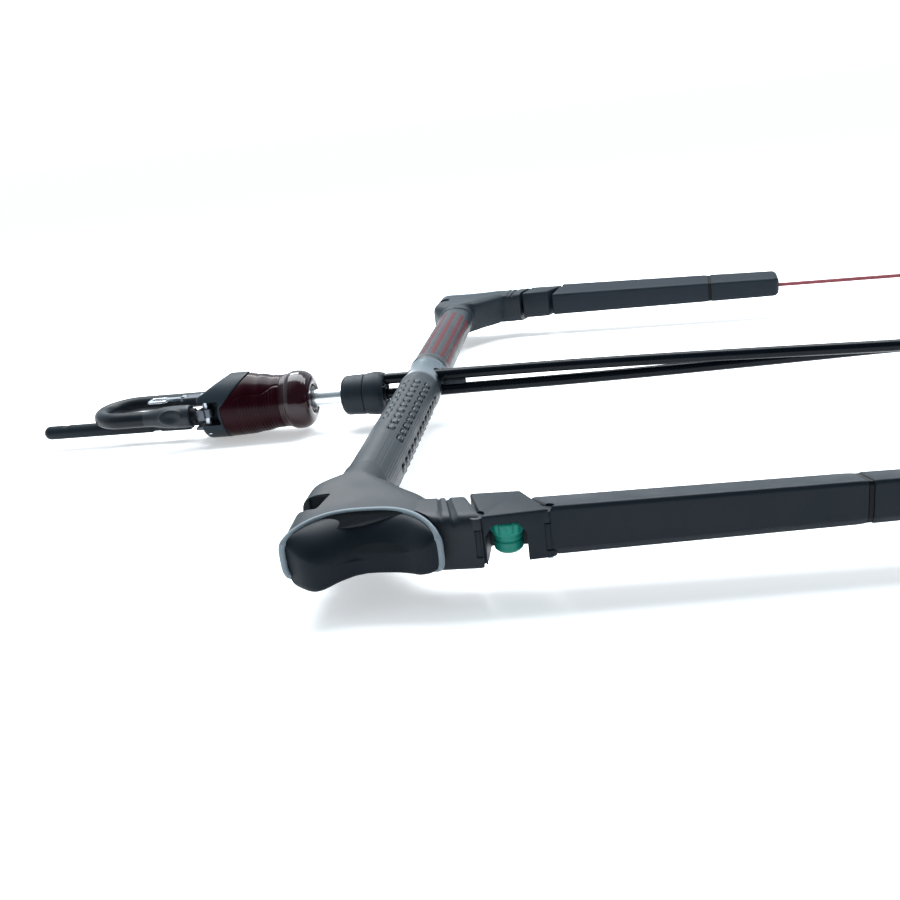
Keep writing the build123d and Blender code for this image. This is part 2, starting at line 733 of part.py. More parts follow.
def bar_end():
    body = end_solid()
    body -= pad_side() - bead_plane(0)
    collar = rod_y(*END_COLLAR_Y, END_COLLAR_R)
    body += fillet(collar.edges().group_by(Axis.Y)[0], 0.8)
    body -= kite_side(HINGE_1, ARM_INNER)
    body -= rod_y(0, TUBE_Y[1], TUBE_R + FIT)
    body -= rod_y(0, GRIP_SLEEVE_Y[1] + SEAT, GRIP_SLEEVE_R + SEAT)
    slot = block(SLOT_X, SLOT_Y, (-60, 60))
    body -= slot
    body -= block((40, 80), (200, 300), (FLOAT_TOP_OUT - 1, 60))
    return with_ears(body, HINGE_1)


def neck_link():
    x1, y1 = HINGE_1
    x2, y2 = HINGE_2
    outline = [(50, INNER_Y), (50, y1 + 3.3), (x1, y1 + 3.3), (x2 + 8, y2 + 2.6), (x2 + 8, INNER_Y - 2)]
    body = prism_xy(outline, FLOAT_LOW, 12.5)
    body &= kite_side(HINGE_1, ARM_INNER, WEDGE_DEG)
    body -= kite_side(HINGE_2, (LINK_INNER_X, INNER_Y))
    window = prism_xz([
        (WINDOW_X[0], -30),
        (WINDOW_X[0], WINDOW_TOP - WINDOW_CORNER),
        (WINDOW_X[0] + WINDOW_CORNER, WINDOW_TOP),
        (WINDOW_X[1] - WINDOW_CORNER, WINDOW_TOP),
        (WINDOW_X[1], WINDOW_TOP - WINDOW_CORNER),
        (WINDOW_X[1], -30),
    ], FAR)
    body = with_barrel(body, HINGE_1, WINDOW_X[0])
    body -= window & block((0, FAR), (WINDOW_Y, FAR), (-60, 60))
    body = with_ears(body, HINGE_2)
    return body - rod_z(-60, 11.0, KNOB_PIN_R + FIT, *KNOB)


def link_pins():
    knob_pin = rod_z(KNOB_Z[0] + 1.0, 11.0 - GAP, KNOB_PIN_R, *KNOB)
    return Compound(children=[hinge_pin(HINGE_2), knob_pin])


def leader_knob():
    low, shoulder, top = KNOB_Z
    knob = rod_z(low, shoulder, KNOB_LOW_R, *KNOB)
    knob = fillet(knob.edges().group_by(Axis.Z)[0], 1.5)
    head = rod_z(shoulder, top, KNOB_R, *KNOB)
    knob += fillet(head.edges(), 1.6)
    return knob - rod_z(low - 1, top + 1, KNOB_PIN_R + RUN, *KNOB)


def float_section(along, shrink):
    """Five-sided float section, taller on its outer side, square to the float."""
    points = [
        (FLOAT_IN, FLOAT_LOW + 1.5),
        (FLOAT_IN, FLOAT_TOP_IN),
        (FLOAT_OUT - 3.0, FLOAT_TOP_OUT),
        (FLOAT_OUT, FLOAT_TOP_OUT - 1.5),
        (FLOAT_OUT, FLOAT_LOW + 5.0),
        (FLOAT_OUT - 3.0, FLOAT_LOW),
        (FLOAT_IN + 1.5, FLOAT_LOW),
    ]
    corners = [(along, u * shrink, v * shrink) for u, v in points]
    return make_face(Polyline(*corners, close=True))


def in_float_place(shape):
    return Pos(*FLOAT_START, 0) * Rot(0, 0, -TOE_DEG) * shape


def float_piece(x0, shrink0, x1, shrink1):
    piece = loft([float_section(x0, shrink0), float_section(x1, shrink1)], ruled=True)
    return piece - rod_x(x0 - 1, x1 + 1, CHANNEL_R)


def float_shell():
    body = float_piece(10.0, 1.0, RING_X[0], RING_SHRINK)
    body = in_float_place(body)
    body &= kite_side(HINGE_2, (LINK_INNER_X, INNER_Y), WEDGE_DEG)
    return with_barrel(body, HINGE_2, HINGE_2[0] + 5)


def float_ring():
    small = RING_SHRINK - 0.08
    return in_float_place(float_piece(RING_X[0] + SEAT, small, RING_X[1] - SEAT, small))


def float_tail():
    piece = loft([float_section(RING_X[1], RING_SHRINK), float_section(FLOAT_END, END_SHRINK)], ruled=True)
    piece -= rod_x(RING_X[1] - 1, FLOAT_END - 20, CHANNEL_R)
    piece -= rod_x(FLOAT_END - 21, FLOAT_END + 1, LEADER_R + SEAT)
    return in_float_place(piece)


def leader_line():
    return in_float_place(rod_x(FLOAT_END - LEADER_IN, FLOAT_END + LEADER_OUT, LEADER_R))


def leader_knot():
    x = FLOAT_END + LEADER_OUT
    knot = Pos(x, 0, 0) * Sphere(KNOT_R)
    return in_float_place(knot - rod_x(x - 9, x, LEADER_R + SEAT))


save("swivel_head_rear", swivel_head_rear())
save("swivel_head_front", swivel_head_front())
save("swivel_bearing", swivel_bearing())
save("head_screw", head_screw())
save("upper_centre_line", centre_line(False))
save("lower_centre_line", centre_line(True))
save("line_spacer", line_spacer())
save("line_stopper", line_stopper())
save("line_eye", line_eye())
save("swivel_post", swivel_post())
save("release_core", release_core())
save("release_spring", release_spring())
save("front_housing", front_housing())
save("front_bracket", front_bracket())
save("unit_pins", unit_pins())
save("latch_lever", latch_lever())
save("release_grip", release_grip())
save("grip_flange", grip_flange())
save("flange_bush", flange_bush())
save("harness_loop", harness_loop())
save("loop_sleeve", loop_sleeve())
save("loop_ribs", loop_ribs())
save("loop_lug", loop_lug())
save("loop_tongue", loop_tongue())
save("keeper_clip", keeper_clip())
save("keeper_bail", keeper_bail())
save("stick_knuckle", stick_knuckle())
save("knuckle_pin", knuckle_pin())
save("locking_stick", locking_stick())
save("centre_insert", centre_insert())
save("line_bushing", line_bushing())
both_sides("core_tube", core_tube())
both_sides("grip", grip())
both_sides("bar_end", bar_end())
both_sides("end_pad", end_pad())
both_sides("piping", piping())
both_sides("arm_pin", hinge_pin(HINGE_1))
both_sides("neck_link", neck_link())
both_sides("link_pins", link_pins())
both_sides("leader_knob", leader_knob())
both_sides("float_shell", float_shell())
both_sides("float_ring", float_ring())
both_sides("float_tail", float_tail())
both_sides("leader_line", leader_line())
both_sides("leader_knot", leader_knot())
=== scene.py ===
"""Looks of the kitesurf control bar: camera, lines, release unit, harness loop, grips, winders and floats."""

from math import atan2, cos, exp, hypot, pi, radians, sin, sqrt

import bmesh
import bpy
from mathutils import Matrix, Vector


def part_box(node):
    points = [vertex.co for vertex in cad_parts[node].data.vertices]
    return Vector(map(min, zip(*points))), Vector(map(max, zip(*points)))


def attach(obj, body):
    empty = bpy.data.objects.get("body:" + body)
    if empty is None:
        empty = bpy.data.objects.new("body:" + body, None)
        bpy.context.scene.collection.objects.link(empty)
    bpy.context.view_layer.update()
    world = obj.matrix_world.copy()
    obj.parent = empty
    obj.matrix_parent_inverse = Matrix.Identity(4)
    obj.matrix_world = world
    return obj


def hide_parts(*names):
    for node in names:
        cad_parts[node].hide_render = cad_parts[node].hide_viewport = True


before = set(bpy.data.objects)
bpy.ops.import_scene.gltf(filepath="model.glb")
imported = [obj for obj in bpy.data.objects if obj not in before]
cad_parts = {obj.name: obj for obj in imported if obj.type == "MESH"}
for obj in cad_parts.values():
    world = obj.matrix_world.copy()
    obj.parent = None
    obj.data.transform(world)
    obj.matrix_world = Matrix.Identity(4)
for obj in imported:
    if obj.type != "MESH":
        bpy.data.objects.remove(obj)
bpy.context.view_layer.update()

MM = 0.001
insert_low, insert_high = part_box("centre_insert")
BAR = (insert_low + insert_high) / 2
post_low, post_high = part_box("swivel_post")
AXIS_Z = round((post_low.z + post_high.z) / 2 / MM - BAR.z / MM, 2)     # release axis under the bar's centre
TURN = 2 * pi


def at(x, y, z):
    """A point given in millimetres from the bar's centre."""
    return Vector((BAR.x + x * MM, BAR.y + y * MM, BAR.z + z * MM))


# ---- camera, light and floor ----

CAMERA_AT = (112.82, -604.59, 167.3)
CAMERA_RIGHT = (0.9857, 0.1224, -0.1157)
CAMERA_UP = (0.0668, 0.3468, 0.9356)
LENS = 37.16
FRONT_SKY, BACK_SKY = 0.2, 1.25         # how bright the room is before and behind the bar


def camera():
    data = bpy.data.cameras.new("camera")
    data.lens = LENS
    data.sensor_width = 36.0
    data.clip_start = 0.01
    eye = bpy.data.objects.new("camera", data)
    right = Vector(CAMERA_RIGHT).normalized()
    back = right.cross(Vector(CAMERA_UP)).normalized()
    up = back.cross(right)
    turn = Matrix((right, up, back)).transposed()
    eye.matrix_world = Matrix.Translation(at(*CAMERA_AT)) @ turn.to_4x4()
    bpy.context.scene.collection.objects.link(eye)
    bpy.context.scene.camera = eye


def soft_light(name, place, target, size, power, tint=(1, 1, 1)):
    data = bpy.data.lights.new(name, "AREA")
    data.shape = "RECTANGLE"
    data.size, data.size_y = size
    data.energy = power
    data.color = tint
    lamp = bpy.data.objects.new(name, data)
    lamp.location = place
    lamp.rotation_euler = (Vector(target) - Vector(place)).to_track_quat("-Z", "Y").to_euler()
    bpy.context.scene.collection.objects.link(lamp)


def studio():
    world = bpy.data.worlds.new("pale_room")
    world.use_nodes = True
    tree = world.node_tree
    background = tree.nodes["Background"]
    background.inputs["Color"].default_value = (0.82, 0.93, 1.0, 1)
    toward_sky = node(tree, "ShaderNodeTexCoord")
    toward_back = node(tree, "ShaderNodeVectorMath", operation="DOT_PRODUCT")
    toward_back.inputs[1].default_value = (-0.6, 0.8, 0.0)
    link(tree, toward_sky.outputs["Generated"], toward_back.inputs[0])
    fade = node(tree, "ShaderNodeMapRange", interpolation_type="SMOOTHSTEP")
    fade.inputs["From Min"].default_value = -0.45
    fade.inputs["From Max"].default_value = 0.4
    fade.inputs["To Min"].default_value = FRONT_SKY
    fade.inputs["To Max"].default_value = BACK_SKY
    link(tree, toward_back.outputs["Value"], fade.inputs["Value"])
    link(tree, fade.outputs[0], background.inputs["Strength"])
    bpy.context.scene.world = world
    soft_light("ceiling", (0.0, 0.35, 0.9), (0.0, 0.1, 0.0), (1.4, 0.6), 26.0, (0.93, 0.97, 1.0))
    soft_light("window", (-0.35, 0.8, 0.75), (-0.1, 0.0, 0.03), (0.3, 0.2), 3.0)
    floor_mesh = bpy.data.meshes.new("floor")
    reach = 300.0
    floor_mesh.from_pydata(
        [(-reach, -reach, 0), (reach, -reach, 0), (reach, reach, 0), (-reach, reach, 0)], [], [(0, 1, 2, 3)]
    )
    floor = bpy.data.objects.new("floor", floor_mesh)
    floor.location.z = -0.001
    bpy.context.scene.collection.objects.link(floor)
    paint = finishes["floor"].node_tree.nodes["Principled BSDF"]
    paint.inputs["Emission Color"].default_value = (1.0, 1.0, 1.0, 1)
    paint.inputs["Emission Strength"].default_value = 0.42
    floor_mesh.materials.append(finishes["floor"])
    bpy.context.scene.view_settings.view_transform = "Standard"


# ---- finishes ----


def group_socket(tree, name, way, kind, value=None):
    socket = tree.interface.new_socket(name=name, in_out=way, socket_type=kind)
    if value is not None:
        socket.default_value = value
    return socket


def link(tree, source, target):
    tree.links.new(source, target)


def node(tree, kind, **settings):
    made = tree.nodes.new(kind)
    for key, value in settings.items():
        setattr(made, key, value)
    return made


def math_node(tree, operation, first, second=None):
    made = node(tree, "ShaderNodeMath", operation=operation)
    for socket, value in zip(made.inputs, (first, second)):
        if value is None:
            continue
        if isinstance(value, (int, float)):
            socket.default_value = value
        else:
            link(tree, value, socket)
    return made.outputs[0]


def noise_node(tree, where, scale, detail=3.0, rough=0.55):
    made = node(tree, "ShaderNodeTexNoise")
    link(tree, where, made.inputs["Vector"])
    if isinstance(scale, (int, float)):
        made.inputs["Scale"].default_value = scale
    else:
        link(tree, scale, made.inputs["Scale"])
    made.inputs["Detail"].default_value = detail
    made.inputs["Roughness"].default_value = rough
    return made.outputs["Fac"]


def moulded_group():
    """Colour drift, uneven gloss and fine grain of a moulded or sandblasted surface."""
    tree = bpy.data.node_groups.new("moulded_skin", "ShaderNodeTree")
    group_socket(tree, "Place", "INPUT", "NodeSocketVector")
    group_socket(tree, "Dark", "INPUT", "NodeSocketColor")
    group_socket(tree, "Light", "INPUT", "NodeSocketColor")
    group_socket(tree, "Grain Scale", "INPUT", "NodeSocketFloat", 2500.0)
    group_socket(tree, "Smooth", "INPUT", "NodeSocketFloat", 0.4)
    group_socket(tree, "Rough", "INPUT", "NodeSocketFloat", 0.6)
    group_socket(tree, "Colour", "OUTPUT", "NodeSocketColor")
    group_socket(tree, "Roughness", "OUTPUT", "NodeSocketFloat")
    group_socket(tree, "Height", "OUTPUT", "NodeSocketFloat")
    start = node(tree, "NodeGroupInput")
    end = node(tree, "NodeGroupOutput")
    drift = noise_node(tree, start.outputs["Place"], 38.0, 2.0)
    grain = noise_node(tree, start.outputs["Place"], start.outputs["Grain Scale"], 2.0, 0.6)
    wide = math_node(tree, "MULTIPLY", drift, 0.55)
    fine = math_node(tree, "MULTIPLY", grain, 0.45)
    share = math_node(tree, "ADD", wide, fine)
    spread = node(tree, "ShaderNodeMapRange")
    spread.inputs["From Min"].default_value = 0.32
    spread.inputs["From Max"].default_value = 0.68
    link(tree, share, spread.inputs["Value"])
    mix = node(tree, "ShaderNodeMix", data_type="RGBA")
    link(tree, spread.outputs[0], mix.inputs["Factor"])
    link(tree, start.outputs["Dark"], mix.inputs[6])
    link(tree, start.outputs["Light"], mix.inputs[7])
    link(tree, mix.outputs[2], end.inputs["Colour"])
    rough = node(tree, "ShaderNodeMapRange")
    rough.inputs["From Min"].default_value = 0.35
    rough.inputs["From Max"].default_value = 0.65
    link(tree, drift, rough.inputs["Value"])
    link(tree, start.outputs["Smooth"], rough.inputs["To Min"])
    link(tree, start.outputs["Rough"], rough.inputs["To Max"])
    link(tree, rough.outputs[0], end.inputs["Roughness"])
    link(tree, grain, end.inputs["Height"])
    return tree


def scuff_group():
    """Sparse fine scratches, for metal and gloss."""
    tree = bpy.data.node_groups.new("fine_scuffs", "ShaderNodeTree")
    group_socket(tree, "Place", "INPUT", "NodeSocketVector")
    group_socket(tree, "Stretch", "INPUT", "NodeSocketVector", (1.0, 1.0, 1.0))
    group_socket(tree, "Amount", "INPUT", "NodeSocketFloat", 0.2)
    group_socket(tree, "Base", "INPUT", "NodeSocketFloat", 0.3)
    group_socket(tree, "Roughness", "OUTPUT", "NodeSocketFloat")
    group_socket(tree, "Height", "OUTPUT", "NodeSocketFloat")
    start = node(tree, "NodeGroupInput")
    end = node(tree, "NodeGroupOutput")
    stretched = node(tree, "ShaderNodeVectorMath", operation="MULTIPLY")
    link(tree, start.outputs["Place"], stretched.inputs[0])
    link(tree, start.outputs["Stretch"], stretched.inputs[1])
    lines = noise_node(tree, stretched.outputs[0], 900.0, 4.0, 0.7)
    more = math_node(tree, "MULTIPLY", lines, start.outputs["Amount"])
    link(tree, math_node(tree, "ADD", more, start.outputs["Base"]), end.inputs["Roughness"])
    link(tree, lines, end.inputs["Height"])
    return tree


def braid_group():
    """Diagonal braid of a cord, from its place along X and round it; its low parts between the strands are
    painted darker as painted shade, its strand tops lighter as painted light.
    """
    tree = bpy.data.node_groups.new("cord_braid_painted_shade", "ShaderNodeTree")
    group_socket(tree, "Place", "INPUT", "NodeSocketVector")
    group_socket(tree, "Dark", "INPUT", "NodeSocketColor")
    group_socket(tree, "Light", "INPUT", "NodeSocketColor")
    group_socket(tree, "Colour", "OUTPUT", "NodeSocketColor")
    group_socket(tree, "Height", "OUTPUT", "NodeSocketFloat")
    start = node(tree, "NodeGroupInput")
    end = node(tree, "NodeGroupOutput")
    waves = []
    for slant in (1.0, -1.0):
        turned_place = node(tree, "ShaderNodeMapping")
        turned_place.inputs["Rotation"].default_value = (0.0, slant * radians(52), slant * radians(38))
        link(tree, start.outputs["Place"], turned_place.inputs["Vector"])
        wave = node(tree, "ShaderNodeTexWave", wave_type="BANDS", bands_direction="X")
        wave.inputs["Scale"].default_value = 420.0
        wave.inputs["Distortion"].default_value = 0.4
        link(tree, turned_place.outputs[0], wave.inputs["Vector"])
        waves.append(wave.outputs["Fac"])
    # the weave's height also sets the colour: low parts take the dark tone, painted shade between the strands
    woven = math_node(tree, "MAXIMUM", *waves)
    mix = node(tree, "ShaderNodeMix", data_type="RGBA")
    link(tree, woven, mix.inputs["Factor"])
    link(tree, start.outputs["Dark"], mix.inputs[6])
    link(tree, start.outputs["Light"], mix.inputs[7])
    link(tree, mix.outputs[2], end.inputs["Colour"])
    link(tree, woven, end.inputs["Height"])
    return tree


GROUPS = {"moulded": moulded_group(), "scuffs": scuff_group(), "braid": braid_group()}


def place_group(tree, which):
    made = node(tree, "ShaderNodeGroup")
    made.node_tree = GROUPS[which]
    place = node(tree, "ShaderNodeTexCoord")
    link(tree, place.outputs["Object"], made.inputs["Place"])
    return made


def start_material(name):
    made = bpy.data.materials.new(name)
    made.use_nodes = True
    return made, made.node_tree, made.node_tree.nodes["Principled BSDF"]


def bump(tree, shader, height, strength, distance):
    made = node(tree, "ShaderNodeBump")
    made.inputs["Strength"].default_value = strength
    made.inputs["Distance"].default_value = distance
    link(tree, height, made.inputs["Height"])
    link(tree, made.outputs[0], shader.inputs["Normal"])


def shade(colour, factor):
    return (*(c * factor for c in colour), 1.0)


def moulded(name, colour, gloss, spread=0.12, grain=2500.0, depth=0.3, coat=0.0, sheen=0.0, specular=0.15):
    """Moulded plastic, rubber or foam: gloss is the pair of its smooth and rough limits."""
    made, tree, shader = start_material(name)
    skin = place_group(tree, "moulded")
    skin.inputs["Dark"].default_value = shade(colour, 1 - spread)
    skin.inputs["Light"].default_value = shade(colour, 1 + spread)
    skin.inputs["Grain Scale"].default_value = grain
    skin.inputs["Smooth"].default_value = gloss[0]
    skin.inputs["Rough"].default_value = gloss[1]
    link(tree, skin.outputs["Colour"], shader.inputs["Base Color"])
    link(tree, skin.outputs["Roughness"], shader.inputs["Roughness"])
    bump(tree, shader, skin.outputs["Height"], depth, 0.00012)
    shader.inputs["Coat Weight"].default_value = coat
    shader.inputs["Coat Roughness"].default_value = 0.12
    shader.inputs["Sheen Weight"].default_value = sheen
    shader.inputs["Specular IOR Level"].default_value = specular
    return made


def metal(name, colour, base, amount, stretch, depth=0.06):
    """Turned, satin or polished metal: stretch sets which way its fine lines run."""
    made, tree, shader = start_material(name)
    shader.inputs["Metallic"].default_value = 1.0
    scuffs = place_group(tree, "scuffs")
    scuffs.inputs["Stretch"].default_value = stretch
    scuffs.inputs["Amount"].default_value = amount
    scuffs.inputs["Base"].default_value = base
    tone = node(tree, "ShaderNodeMix", data_type="RGBA")
    tone.inputs[6].default_value = shade(colour, 0.9)
    tone.inputs[7].default_value = shade(colour, 1.08)
    link(tree, scuffs.outputs["Height"], tone.inputs["Factor"])
    link(tree, tone.outputs[2], shader.inputs["Base Color"])
    link(tree, scuffs.outputs["Roughness"], shader.inputs["Roughness"])
    bump(tree, shader, scuffs.outputs["Height"], depth, 0.00005)
    return made


def braided(name, colour):
    made, tree, shader = start_material(name)
    braid = place_group(tree, "braid")
    # the braid's dark tone is painted shade in its grooves, its light tone painted light on the strands' tops
    braid.inputs["Dark"].default_value = shade(colour, 0.55)
    braid.inputs["Light"].default_value = shade(colour, 1.2)
    link(tree, braid.outputs["Colour"], shader.inputs["Base Color"])
    shader.inputs["Roughness"].default_value = 0.7
    bump(tree, shader, braid.outputs["Height"], 0.6, 0.0003)
    return made


RUBBER_DARK = (0.0045, 0.0075, 0.0115)
RELEASE_RED = (0.012, 0.0006, 0.0026)
LEFT_RED = (0.19, 0.013, 0.02)
RIGHT_GREEN = (0.008, 0.19, 0.145)

finishes = {
    "floor": moulded("floor_paint", (0.9, 0.91, 0.92), (0.8, 0.9), 0.01, 300.0, 0.02, specular=0.1),
    "head": moulded("head_plastic", (0.009, 0.0145, 0.02), (0.42, 0.52), 0.12, 3200.0, 0.22),
    "housing": moulded("housing_plastic", (0.013, 0.02, 0.027), (0.42, 0.52), 0.1, 3500.0, 0.22),
    "release_red": moulded("release_gloss", RELEASE_RED, (0.2, 0.3), 0.3, 1200.0, 0.05, specular=0.08),
    "flange": moulded("flange_gloss", (0.012, 0.001, 0.0032), (0.12, 0.2), 0.3, 1200.0, 0.04, coat=0.35),
    "bush": moulded("bush_dark", (0.004, 0.005, 0.006), (0.35, 0.45), 0.1, 2600.0, 0.15),
    "loop": moulded("loop_rubber", RUBBER_DARK, (0.3, 0.38), 0.12, 2200.0, 0.14, specular=0.15),
    "sleeve": moulded(
        "sleeve_rubber", (0.009, 0.014, 0.019), (0.36, 0.46), 0.12, 2200.0, 0.16, specular=0.25
    ),
    "rib": moulded("rib_black", (0.002, 0.003, 0.0045), (0.4, 0.5), 0.15, 2200.0, 0.15),
    "stick": moulded("stick_rubber", (0.007, 0.0115, 0.016), (0.32, 0.42), 0.12, 2200.0, 0.16, specular=0.1),
    "line": moulded("line_jacket", (0.0012, 0.003, 0.0055), (0.16, 0.24), 0.2, 700.0, 0.05, specular=0.12),
    "spacer": moulded("spacer_grey", (0.02, 0.028, 0.035), (0.45, 0.55), 0.1, 2500.0, 0.2),
    "stopper": moulded("stopper_rubber", (0.008, 0.012, 0.016), (0.5, 0.6), 0.1, 2000.0, 0.25),
    "grip": moulded("grip_foam", (0.009, 0.0145, 0.02), (0.36, 0.46), 0.16, 3400.0, 0.35, specular=0.24),
    # the pits' near-black, barely reflecting finish is painted shade in the recesses round the pips and in
    # their centre dots
    "grip_pits_painted_shade": moulded("grip_recess_painted_shade", (0.0012, 0.002, 0.003), (0.7, 0.8), 0.14, 3400.0, 0.3, specular=0.05),
    # the studs' lighter colour is a painted highlight, standing for the glint on their polished tops
    "grip_stud_painted_highlight": moulded("grip_stud_painted_highlight", (0.025, 0.034, 0.041), (0.36, 0.46), 0.14, 3400.0, 0.15, specular=0.4),
    "inlay_red": moulded("grip_inlay", (0.07, 0.009, 0.013), (0.46, 0.56), 0.16, 3400.0, 0.35),
    "end": moulded("end_sandblasted", (0.009, 0.0145, 0.02), (0.4, 0.5), 0.25, 2300.0, 0.6, specular=0.2),
    "pad": moulded("pad_rubber", (0.006, 0.0105, 0.015), (0.42, 0.5), 0.1, 2600.0, 0.18, specular=0.1),
    "bead": moulded("bead_grey", (0.19, 0.23, 0.26), (0.45, 0.55), 0.06, 2200.0, 0.12),
    "neck": moulded("neck_plastic", (0.008, 0.013, 0.019), (0.44, 0.54), 0.16, 2500.0, 0.4),
    "float": moulded("float_foam", (0.0075, 0.0125, 0.0185), (0.44, 0.54), 0.14, 2700.0, 0.35),
    "ring": moulded("ring_black", (0.0015, 0.002, 0.003), (0.45, 0.55), 0.1, 2600.0, 0.2),
    "knuckle": moulded("knuckle_plastic", (0.01, 0.015, 0.02), (0.4, 0.5), 0.1, 2600.0, 0.2),
    "left_knob": moulded("knob_red", LEFT_RED, (0.32, 0.42), 0.12, 1800.0, 0.12, coat=0.1),
    "right_knob": moulded("knob_green", RIGHT_GREEN, (0.32, 0.42), 0.12, 1800.0, 0.12, coat=0.1),
    "carbon": moulded("tube_carbon", (0.012, 0.012, 0.012), (0.2, 0.3), 0.3, 900.0, 0.1, coat=0.4),
    "post": metal("post_steel", (0.78, 0.84, 0.88), 0.2, 0.2, (1.0, 6.0, 6.0)),
    "pin": metal("pin_steel", (0.4, 0.44, 0.48), 0.24, 0.2, (1.0, 4.0, 4.0)),
    "bracket": metal("bracket_steel", (0.09, 0.1, 0.115), 0.3, 0.25, (4.0, 1.0, 1.0)),
    "clip": metal("clip_chrome", (0.5, 0.55, 0.6), 0.12, 0.12, (3.0, 1.0, 1.0), 0.03),
    "polished": metal("insert_polished", (0.13, 0.16, 0.185), 0.2, 0.14, (5.0, 1.0, 5.0), 0.05),
    "bronze": metal("bearing_bronze", (0.45, 0.3, 0.14), 0.3, 0.2, (1.0, 4.0, 4.0)),
    "anodised": metal("core_anodised", (0.3, 0.32, 0.34), 0.32, 0.15, (1.0, 5.0, 5.0)),
    "left_leader": braided("leader_red", (0.16, 0.025, 0.032)),
    "right_leader": braided("leader_green", (0.0, 0.1, 0.065)),
}

camera()
studio()

# ---- shaping tools ----


def link_piece(name, mesh, finish, body, replaces, sharp=38):
    """Hand a finished mesh its finish, its body and the nodes that it stands for."""
    mesh.materials.append(finishes[finish])
    made = bpy.data.objects.new(name, mesh)
    bpy.context.scene.collection.objects.link(made)
    mesh.shade_smooth()
    mesh.set_sharp_from_angle(angle=radians(sharp))
    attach(made, body)
    if replaces:
        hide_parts(*replaces)
    return made


def skin(name, rings, capped=True, joined=False):
    """Closed skin over rings of points with the same count; joined closes the last ring onto the first."""
    count = len(rings[0])
    mesh = bpy.data.meshes.new(name)
    points = [at(*p) for ring in rings for p in ring]
    faces = []
    steps = len(rings) if joined else len(rings) - 1
    for r in range(steps):
        a = r * count
        b = (r + 1) % len(rings) * count
        for k in range(count):
            n = (k + 1) % count
            faces.append((a + k, a + n, b + n, b + k))
    if capped and not joined:
        last = (len(rings) - 1) * count
        faces.append(tuple(reversed(range(count))))
        faces.append(tuple(last + k for k in range(count)))
    mesh.from_pydata(points, [], faces)
    outward(mesh)
    return mesh


def outward(mesh):
    work = bmesh.new()
    work.from_mesh(mesh)
    bmesh.ops.recalc_face_normals(work, faces=work.faces)
    work.to_mesh(mesh)
    work.free()


def soften(line, radius, steps=4):
    """An open line of (a, b) points with its inner corners rounded."""
    made = [line[0]]
    for before, here, after in zip(line, line[1:], line[2:]):
        reach_in = min(radius, 0.48 * hypot(before[0] - here[0], before[1] - here[1]))
        reach_out = min(radius, 0.48 * hypot(after[0] - here[0], after[1] - here[1]))
        start = toward(here, before, reach_in)
        end = toward(here, after, reach_out)
        for n in range(steps + 1):
            t = n / steps
            made.append(tuple(
                (1 - t) ** 2 * s + 2 * t * (1 - t) * h + t * t * e for s, h, e in zip(start, here, end)
            ))
    made.append(line[-1])
    return made


def toward(here, there, reach):
    run = hypot(there[0] - here[0], there[1] - here[1])
    share = reach / run if run else 0
    return tuple(h + (t - h) * share for h, t in zip(here, there))


def dense(line, step):
    """The same line with points no further apart than step."""
    made = [line[0]]
    for a, b in zip(line, line[1:]):
        run = hypot(b[0] - a[0], b[1] - a[1])
        parts = max(1, int(run / step + 0.999))
        made += [tuple(p + (q - p) * n / parts for p, q in zip(a, b)) for n in range(1, parts + 1)]
    return made


def turned_x(name, profile, y=0.0, z=0.0, relief=None, around=96, shift=None):
    """Skin turned about an axis along X; relief adds to the radius, shift adds to x."""
    rings = []
    for x, r in profile:
        ring = []
        for k in range(around):
            a = TURN * k / around
            full = r + (relief(x, a, r) if relief else 0)
            moved = x + (shift(x, a, full) if shift else 0)
            ring.append((moved, y + full * sin(a), z + full * cos(a)))
        rings.append(ring)
    return skin(name, rings)


def turned_z(name, profile, x, y, relief=None, around=64):
    """Skin turned about an upright axis; profile is (height, radius)."""
    rings = []
    for h, r in profile:
        ring = []
        for k in range(around):
            a = TURN * k / around
            full = r + (relief(h, a, r) if relief else 0)
            ring.append((x + full * cos(a), y + full * sin(a), h))
        rings.append(ring)
    return skin(name, rings)


def ease(value, low, high):
    """Smooth step from 0 at low to 1 at high."""
    t = min(1.0, max(0.0, (value - low) / (high - low)))
    return t * t * (3 - 2 * t)


def groove(value, centre, width):
    """A rounded groove's share of its depth, 1 at its middle."""
    t = abs(value - centre) / (width / 2)
    return (1 - t * t) ** 2 if t < 1 else 0.0


def angle_gap(a, b):
    """Signed difference of two angles."""
    return (a - b + pi) % TURN - pi


def carve(mesh, cutter, way="DIFFERENCE"):
    """Cut a mesh with another, or join them, and return the result."""
    holder = bpy.data.objects.new("carve_target", mesh)
    tool = bpy.data.objects.new("carve_tool", cutter)
    for o in (holder, tool):
        bpy.context.scene.collection.objects.link(o)
    step = holder.modifiers.new("carve", "BOOLEAN")
    step.operation = way
    step.solver = "EXACT"
    step.object = tool
    bpy.context.view_layer.update()
    shaped = holder.evaluated_get(bpy.context.evaluated_depsgraph_get())
    result = bpy.data.meshes.new_from_object(shaped)
    for o in (holder, tool):
        bpy.data.objects.remove(o)
    return result


def block(x, y, z):
    """Plain box mesh, for carving."""
    corners = [(a, b) for a, b in ((x[0], y[0]), (x[1], y[0]), (x[1], y[1]), (x[0], y[1]))]
    return prism(corners, z)


def prism(outline, z):
    return skin("prism", [[(x, y, h) for x, y in outline] for h in z])


def rounded_block(outline, z, round_off, steps=3):
    """Upright prism with all edges rounded off."""
    mesh = prism(outline, z)
    return bevelled(mesh, round_off, steps)


def bevelled(mesh, width, steps=3, angle=35):
    holder = bpy.data.objects.new("bevel_target", mesh)
    bpy.context.scene.collection.objects.link(holder)
    work = holder.modifiers.new("bevel", "BEVEL")
    work.width = width * MM
    work.segments = steps
    work.limit_method = "ANGLE"
    work.angle_limit = radians(angle)
    bpy.context.view_layer.update()
    result = bpy.data.meshes.new_from_object(holder.evaluated_get(bpy.context.evaluated_depsgraph_get()))
    bpy.data.objects.remove(holder)
    return result


# ---- centre lines and leaders ----

